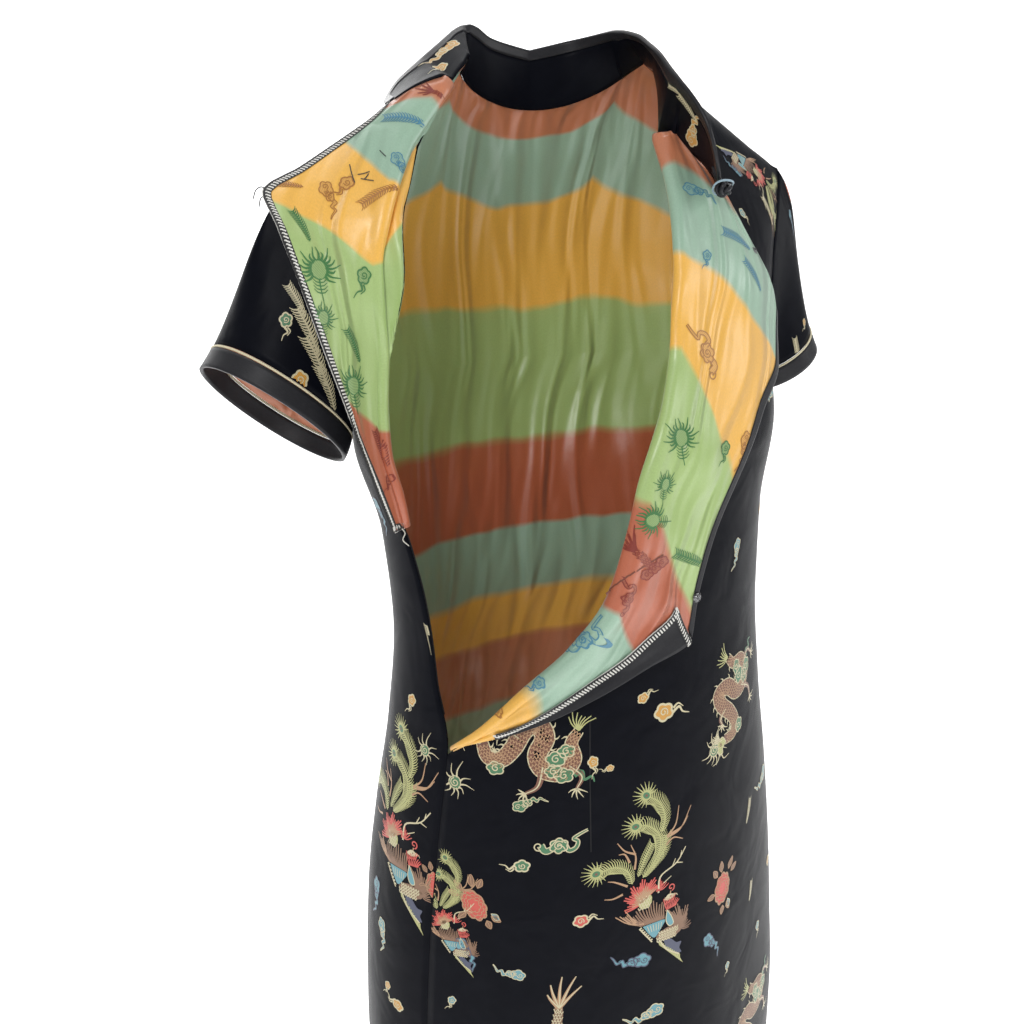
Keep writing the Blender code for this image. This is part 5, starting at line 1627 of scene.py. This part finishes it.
# Woven motifs, sleeves and collar: the same figures, cut through by the seams as the
# brocade was cut out.
SLEEVE_CURVE = 0.055
SLEEVE_FIGURES = (
    ("eye", 236, 352, 1.0, -35), ("puff_gold", 300, 380, 1.0, 70), ("puff_green", 286, 320, 0.8, 80),
    ("frond", 296, 300, 0.9, 24), ("frond", 307, 330, 1.25, 18), ("frond", 316, 360, 1.3, 16),
    ("frond", 327, 388, 1.2, 14),
)
right_sleeve_tree = cloth_tree(sleeve_surfaces["right"])
right_sleeve_figures = woven_figures("right_sleeve_figures", right_sleeve_tree, SLEEVE_FIGURES,
                                     SLEEVE_CURVE)
LEFT_SLEEVE_FIGURES = (("mist_blue", 790, 215, 0.5, 90), ("puff_gold", 804, 322, 0.5, 60),
                       ("frond", 796, 350, 0.8, 10))
left_sleeve_tree = cloth_tree(sleeve_surfaces["left"])
left_sleeve_figures = woven_figures("left_sleeve_figures", left_sleeve_tree, LEFT_SLEEVE_FIGURES,
                                    SLEEVE_CURVE)
COLLAR_FIGURES = (
    ("cloud_gold", 692, 138, 0.80, -150), ("frond", 688, 108, 0.9, 30), ("frond", 675, 90, 0.6, 60),
    ("cloud_gold", 449, 46, 0.85, 60), ("puff_gold", 441, 68, 0.9, 100),
)
collar_inner = moved_out(collar_rows, COLLAR_CLOTH)
if collar_inner[0][len(collar_columns) // 2][1] > collar_rows[0][len(collar_columns) // 2][1]:
    collar_inner = moved_out(collar_rows, -COLLAR_CLOTH)
collar_tree = cloth_tree([list(row) for row in collar_inner])
collar_figures = woven_figures("collar_figures", collar_tree, COLLAR_FIGURES, 0.2)

# Woven motifs, reverse: the same figures seen from behind, drawn only by the tint that
# each coloured band of weft gives them.
TINTS = {
    "teal": ((0.075, 0.25, 0.36), (0.24, 0.42, 0.36)),
    "gold": ((0.42, 0.17, 0.025), (0.70, 0.36, 0.07)),
    "leaf": ((0.055, 0.20, 0.055), (0.26, 0.40, 0.15)),
    "rust": ((0.26, 0.035, 0.02), (0.38, 0.10, 0.05)),
}
TINT_PLACE = {name: 2 * i for i, name in enumerate(TINTS)}
OUTLINE_SILKS = ("cream", "straw", "rose")
REVERSE_CURVE = 0.4
tint_threads = [thread(f"{name}_{part}", colour, 0.45)
                for name, pair in TINTS.items() for part, colour in zip(("line", "ground"), pair)]


def reverse_figures(name, tree, table):
    """Tinted figures of a reverse, from kind, place in the picture, size, turn and tint."""
    joined = bmesh.new()
    for kind, u, v, size, turn, tint in table:
        spot, normal = seen_place(tree, u, v)
        paint = [TINT_PLACE[tint] + (0 if silk in OUTLINE_SILKS else 1) for silk in SILKS]
        if spot is not None:
            lay_drawing(joined, tree, kind, spot, normal, size, turn, REVERSE_CURVE, CLOTH, paint)
    return motif_piece(name, joined, tint_threads)


FRONT_REVERSE_FIGURES = (
    ("cloud_blue", 690, 190, 0.62, 150, "teal"), ("puff_blue", 706, 256, 0.62, 60, "teal"),
    ("frond", 736, 240, 1.1, 60, "teal"), ("frond", 752, 275, 1.0, 30, "teal"),
    ("winding_gold", 706, 352, 0.85, 95, "gold"), ("cloud_gold", 744, 440, 0.7, 60, "gold"),
    ("eye", 680, 438, 1.1, 0, "leaf"), ("eye", 664, 484, 0.8, -20, "leaf"),
    ("eye", 652, 520, 1.0, 70, "leaf"), ("puff_green", 724, 448, 0.8, 60, "leaf"),
    ("claw", 634, 548, 0.7, 40, "rust"), ("winding_coral", 628, 598, 0.6, 70, "rust"),
    ("winding_blue", 585, 640, 0.75, 40, "teal"), ("puff_blue", 540, 683, 0.7, 30, "teal"),
    ("puff_gold", 500, 712, 0.7, 30, "gold"), ("frond", 690, 560, 1.2, 60, "leaf"),
)
front_reverse_tree = cloth_tree(front_turned)
front_reverse_figures = reverse_figures("front_reverse_figures", front_reverse_tree,
                                        FRONT_REVERSE_FIGURES)
UNDER_REVERSE_FIGURES = (
    ("claw", 432, 92, 0.45, 70, "rust"), ("frond", 404, 120, 1.1, 80, "teal"),
    ("cloud_blue", 397, 160, 0.55, 100, "teal"), ("cloud_gold", 326, 190, 0.62, 95, "gold"),
    ("puff_gold", 347, 184, 0.85, 40, "gold"), ("frond", 378, 196, 1.0, 120, "gold"),
    ("frond", 283, 186, 0.9, 80, "gold"), ("eye", 318, 270, 1.15, -5, "leaf"),
    ("frond", 300, 226, 0.9, 10, "leaf"), ("puff_green", 363, 276, 0.9, 60, "leaf"),
    ("eye", 352, 386, 1.1, -10, "leaf"), ("eye", 322, 318, 0.85, -20, "leaf"),
    ("frond", 352, 345, 0.9, 20, "leaf"), ("frond", 378, 448, 1.0, 10, "rust"),
    ("puff_coral", 387, 480, 0.6, 40, "rust"),
)
under_reverse_tree = cloth_tree(under_turned)
under_reverse_figures = reverse_figures("underlap_reverse_figures", under_reverse_tree,
                                        UNDER_REVERSE_FIGURES)

# Serging: the raw edges of the underlap and of the side facing are overcast by machine,
# with close slanting strands of off-white thread over the edge.
serging_thread = thread("serging_thread", (0.78, 0.77, 0.72), 0.6)
serging_ground = thread("serging_ground", (0.012, 0.012, 0.013), 0.6)
SERGE_STEP = 0.0024
SERGE_WIDE = 0.0044


def even_places(points, step):
    """Places at even steps along a line of points, with their shares of its columns."""
    points = np.array(points)
    lengths = np.concatenate([[0.0], np.cumsum(np.linalg.norm(np.diff(points, axis=0), axis=1))])
    count = max(2, int(lengths[-1] / step))
    return np.interp(np.linspace(0, lengths[-1], count), lengths, np.arange(len(points)))


def read_line(points, place):
    points = np.array(points)
    return np.array([np.interp(place, np.arange(len(points)), points[:, i]) for i in range(3)])


def strand(joined, path, width, face):
    """A flat strand of thread along a path in space."""
    path = np.array(path)
    way = np.gradient(path, axis=0)
    aside = np.cross(way, face)
    aside = aside / np.maximum(np.linalg.norm(aside, axis=1)[:, None], 1e-9) * width / 2
    made = bmesh.ops.create_grid(joined, x_segments=1, y_segments=len(path) - 1, size=1.0)["verts"]
    for vertex, point in zip(made, np.stack([path - aside, path + aside], axis=1).reshape(-1, 3)):
        vertex.co = Vector(point)


def serging(name, edge, inner, raised):
    """Slanting strands from just inside a raw edge, over it, with a chain along each side."""
    joined = bmesh.new()
    places = even_places(edge, SERGE_STEP)
    whole = len(edge) - 1
    under_chain, chain_out, faces = [], [], []
    for k, place in enumerate(places):
        rim = read_line(edge, place)
        inside = read_line(inner, min(place + 0.6 * whole / len(places), whole))
        ahead = read_line(edge, min(place + 0.3, whole)) - read_line(edge, max(place - 0.3, 0))
        way = unit(inside - rim)
        face = unit(np.cross(way, ahead))
        if np.dot(face, np.array(EYE) - rim) < 0:
            face = -face
        faces.append(face)
        start = rim + way * SERGE_WIDE + face * (raised + 0.0006)
        under_chain.append(rim + way * 0.0022 + face * (raised + 0.0003))
        chain_out.append(rim - way * 0.0005 + face * (raised - 0.0001 + (0.0003 if k % 2 else 0)))
        strand(joined, [start, rim + way * SERGE_WIDE * 0.4 + face * (raised + 0.0008),
                        rim - way * 0.0004 + face * raised * 0.6], 0.0011, face)
    strand(joined, chain_out, 0.0012, np.array(faces))
    cloth_faces = len(joined.faces)
    strand(joined, under_chain, 0.0052, np.array(faces))
    joined.faces.ensure_lookup_table()
    for i in range(cloth_faces, len(joined.faces)):
        joined.faces[i].material_index = 1
    return motif_piece(name, joined, [serging_thread, serging_ground])


under_edge = [row[-1] for row in under_turned]
under_inner = [row[-3] for row in under_turned]
underlap_serging = serging("underlap_edge_serging", under_edge, under_inner, CLOTH)
under_foot_serging = serging("underlap_foot_serging", under_turned[0][ROLL_STEPS:],
                             under_turned[2][ROLL_STEPS:], CLOTH)
facing_line = [list(p) for p in front_facing_rows[:, 0]]
facing_inside = [list(p) for p in front_facing_rows[:, 2]]
facing_serging = serging("front_facing_serging", facing_line, facing_inside, FACING_CLOTH)
facing_top_serging = serging("front_facing_top_serging", list(front_facing_rows[-1]),
                             list(front_facing_rows[-2]), FACING_CLOTH)

# Darts and seams: a long dart takes in the front at the waist and a short one shapes the
# bust; a narrow strip of painted shade marks each of them, near black on the face and darkened rust on the
# reverse.
# Painted shade: the waist dart is a near-black strip and the bust dart a darkened rust strip, standing in
# for the shade in each crease.
seam_shadow = satin("seam_shadow", colour=(0.003, 0.003, 0.004), roughness=0.6)
dart_painted_shade = thread("dart_crease_painted_shade", (0.20, 0.055, 0.03), 0.6)


def pressed_line(name, tree, knots, width, material, raised):
    """A narrow line through places of the picture; past the cloth's edge it hangs free."""
    joined = bmesh.new()
    ways = [picture_ray(float(u), float(v)).normalized() for u, v in bend(knots, 40)]
    hits = [tree.ray_cast(EYE, way) for way in ways]
    reach = min([distance for spot, _, _, distance in hits if spot is not None], default=0.85)
    path, faces = [], []
    for way, (spot, normal, _, distance) in zip(ways, hits):
        face = -way
        if spot is not None:
            face = -normal if normal.dot(way) > 0 else normal
            reach = distance
        faces.append(np.array(face))
        path.append(np.array(EYE + way * reach + face * raised))
    strand(joined, path, width, np.array(faces))
    return motif_piece(name, joined, [material])


waist_dart = pressed_line("front_waist_dart", front_tree, [(590, 722), (590, 780), (591, 852)], 0.0010,
                          seam_shadow, 0.00012)
bust_dart = pressed_line("front_bust_dart", front_reverse_tree, [(606, 594), (632, 573), (662, 554)],
                         0.0012, dart_painted_shade, CLOTH + 0.0002)

# Press studs: two nickel snap sockets sewn through four holes to the bound edge with
# black thread, one near the collar and one at the side corner.
STUD_RADIUS = 0.0036
STUD_RIM = 0.0009
STUD_HEIGHTS = {"neck": -0.0722, "corner": -0.281}
nickel, nickel_shader, add_node, join_node = cloth_nodes("nickel")
nickel_place = add_node("ShaderNodeTexCoord").outputs["Object"]
nickel_wear = add_node("ShaderNodeTexNoise", {}, {"Vector": nickel_place, "Scale": 900.0, "Detail": 3.0})
nickel_rough = add_node("ShaderNodeMapRange", {}, {"Value": nickel_wear.outputs["Fac"], "To Min": 0.16,
                                                   "To Max": 0.38})
nickel_tone = add_node("ShaderNodeMix", {"data_type": "RGBA"},
                       {0: nickel_wear.outputs["Fac"], 6: (0.13, 0.13, 0.135, 1), 7: (0.26, 0.26, 0.26, 1)})
join_node(nickel_rough.outputs["Result"], "Roughness")
join_node(nickel_tone.outputs[2], "Base Color")
nickel_shader.inputs["Metallic"].default_value = 1.0
black_thread = thread("black_thread", (0.02, 0.02, 0.022), 0.5)


def turned_piece(profile, place, steps=36):
    """A small turned piece from radius and height, set on its seat."""
    turned = bmesh.new()
    line = [turned.verts.new((r, 0.0, h)) for r, h in profile]
    edges = [turned.edges.new(pair) for pair in zip(line, line[1:])]
    bmesh.ops.spin(turned, geom=line + edges, cent=(0, 0, 0), axis=(0, 0, 1), angle=2 * math.pi,
                   steps=steps, use_merge=True)
    bmesh.ops.remove_doubles(turned, verts=turned.verts, dist=0.000005)
    bmesh.ops.recalc_face_normals(turned, faces=turned.faces)
    for face in turned.faces:
        face.smooth = True
    bmesh.ops.transform(turned, matrix=place, verts=turned.verts)
    return turned


for name, z in STUD_HEIGHTS.items():
    roll, at = front_flap_row(z)
    width = path_length([at(k / 6) for k in range(7)])
    middle = 1 - BINDING_WIDTH / width / 2
    centre = at(middle)
    across_way = at(min(middle + 0.01, 1.0)) - at(middle - 0.01)
    up_way = front_flap_row(z + 0.003)[1](middle) - front_flap_row(z - 0.003)[1](middle)
    face = unit(np.cross(across_way, up_way))
    if name == "neck" and face[1] > 0:
        face = -face
    seat = Vector(centre + face * (TAPE_CLOTH * 0.75 + 2 * SEAM_GAP))
    place = Matrix.Translation(seat) @ Vector(face).to_track_quat("Z", "Y").to_matrix().to_4x4()
    socket = [(0.0, 0.0), (0.0034, 0.0), (STUD_RADIUS, 0.0002), (0.0035, 0.0006), (0.0031, 0.0005),
              (0.0026, 0.0004), (0.0023, 0.0006), (0.0020, STUD_RIM * 1.6), (0.0014, STUD_RIM * 2),
              (0.0010, STUD_RIM * 1.8), (0.0009, 0.0008), (0.0, 0.0008)]
    stud = motif_piece(f"press_stud_socket_{name}", turned_piece(socket, place), [nickel])
    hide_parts(f"press_stud_{name}")
    sewn = bmesh.new()
    for k in range(4):
        angle = math.pi / 4 + math.pi / 2 * k
        for slip in (-0.12, 0.0, 0.12):
            way = np.array([math.cos(angle + slip), math.sin(angle + slip), 0.0])
            path = [way * 0.0026, way * 0.0031 + (0, 0, 0.0010), way * 0.0037 + (0, 0, 0.0008), way * 0.0043]
            path = [np.array(place @ Vector(p)) for p in path]
            strand(sewn, path, 0.0004, face)
    motif_piece(f"press_stud_stitches_{name}", sewn, [black_thread])

# Knot button: a ball knot of black satin cord at the collar's end, with its two tails
# sewn back on the binding and a pale blue loop left hanging on it.
KNOT_RADIUS = 0.0065
KNOT_HEIGHT = 0.016
KNOT_CORD = 0.00145
TAIL_CORD = 0.0011
LOOP_CORD = 0.00075
end = collar_point(neck_whole, KNOT_HEIGHT)
edge_way = unit(collar_point(neck_whole, KNOT_HEIGHT + STUD_RADIUS) - end)
inward = collar_point(neck_whole - BINDING_WIDTH, KNOT_HEIGHT) - end
away = -unit(inward - edge_way * np.dot(inward, edge_way))
knot_middle = end + away * (KNOT_RADIUS + 0.0006)
side_way = np.cross(away, edge_way)
wound = []
for k in range(120):
    t = 2 * math.pi * k / 120
    ring = 0.0029 + 0.0020 * math.cos(4 * t)
    spot = edge_way * ring * math.cos(3 * t) + side_way * ring * math.sin(3 * t)
    wound.append(knot_middle + spot + away * 0.0034 * math.sin(4 * t))
knot_satin = satin("knot_satin", colour=(0.014, 0.014, 0.017), roughness=0.28)
knot = cord_mesh("ball_knot", wound, KNOT_CORD, knot_satin, closed=True)
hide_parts("knot_button")
for hand in (-1, 1):
    tail = [knot_middle - away * 0.004 + edge_way * hand * 0.0012,
            end + away * 0.0012 + edge_way * hand * 0.0016,
            end - away * 0.004 + edge_way * hand * 0.0022 + side_way * 0.0016,
            end - away * 0.010 + edge_way * hand * 0.0026 + side_way * 0.0020]
    tail_name = "knot_tail_under" if hand < 0 else "knot_tail_over"
    cord_mesh(tail_name, tail, TAIL_CORD, knot_satin)
loop_silk = thread("pale_blue_loop", (0.30, 0.42, 0.50), 0.45)
loop = []
for k in range(40):
    t = 2 * math.pi * k / 40
    loop.append(knot_middle + edge_way * 0.0078 * math.cos(t) + side_way * 0.0072 * math.sin(t)
                - away * (0.0016 + 0.0008 * math.sin(2 * t)))
cord_mesh("button_loop", loop, LOOP_CORD, loop_silk, closed=True)

# Thread ends: cut sewing threads and a few basting tacks left on the turned-out underlap,
# loose on its reverse and hanging past its edges.
THREAD_WIDTH = 0.0007
off_white = thread("loose_thread", (0.66, 0.64, 0.56), 0.6)
LOOSE_THREADS = (
    ("corner_long", [(268, 192), (262, 187), (256, 190), (253, 199)], "black"),
    ("corner_short", [(268, 194), (261, 198), (259, 207)], "black"),
    ("foot", [(400, 527), (405, 533), (403, 540), (409, 546)], "white"),
    ("tack_upright", [(350, 166), (352, 175), (355, 184)], "black"),
    ("tack_upper", [(358, 176), (364, 175), (370, 173)], "black"),
    ("tack_slanting", [(364, 181), (367, 178), (369, 175)], "black"),
    ("tack_lower", [(361, 180), (367, 181), (374, 182)], "black"),
    ("tack_outer", [(380, 152), (383, 155), (386, 158)], "black"),
)
for name, knots, tone in LOOSE_THREADS:
    silk = off_white if tone == "white" else black_thread
    pressed_line(f"thread_{name}", under_reverse_tree, knots, THREAD_WIDTH, silk, CLOTH + 0.0006)

# Cuts: for each cloth and tape that is at least 10 mm wide the flat size of its cut is
# worked out, measured along its own rows of points; the sizes are not kept or used.


def cut_size(rows):
    """Greatest width and length of a grid of cloth, and its area."""
    points = np.array(rows)
    across = np.linalg.norm(np.diff(points, axis=1), axis=2)
    along = np.linalg.norm(np.diff(points, axis=0), axis=2)
    area = float((across[:-1] * along[:, :-1]).sum())
    return float(across.sum(axis=1).max()), float(along.sum(axis=0).max()), area


def declare_cut(grids):
    width = sum(cut_size(rows)[0] for rows in grids)
    length = max(cut_size(rows)[1] for rows in grids)
    area = min(sum(cut_size(rows)[2] for rows in grids), width * length)


declare_cut([front_rows, front_turned])
declare_cut([under_rows, under_turned])
declare_cut([back_rows])
for name in ("left", "right"):
    declare_cut([sleeve_surfaces[name]])
    declare_cut([cuff_rows[name]])
declare_cut([front_facing_rows])
declare_cut([back_facing_rows])
declare_cut([collar_rows])
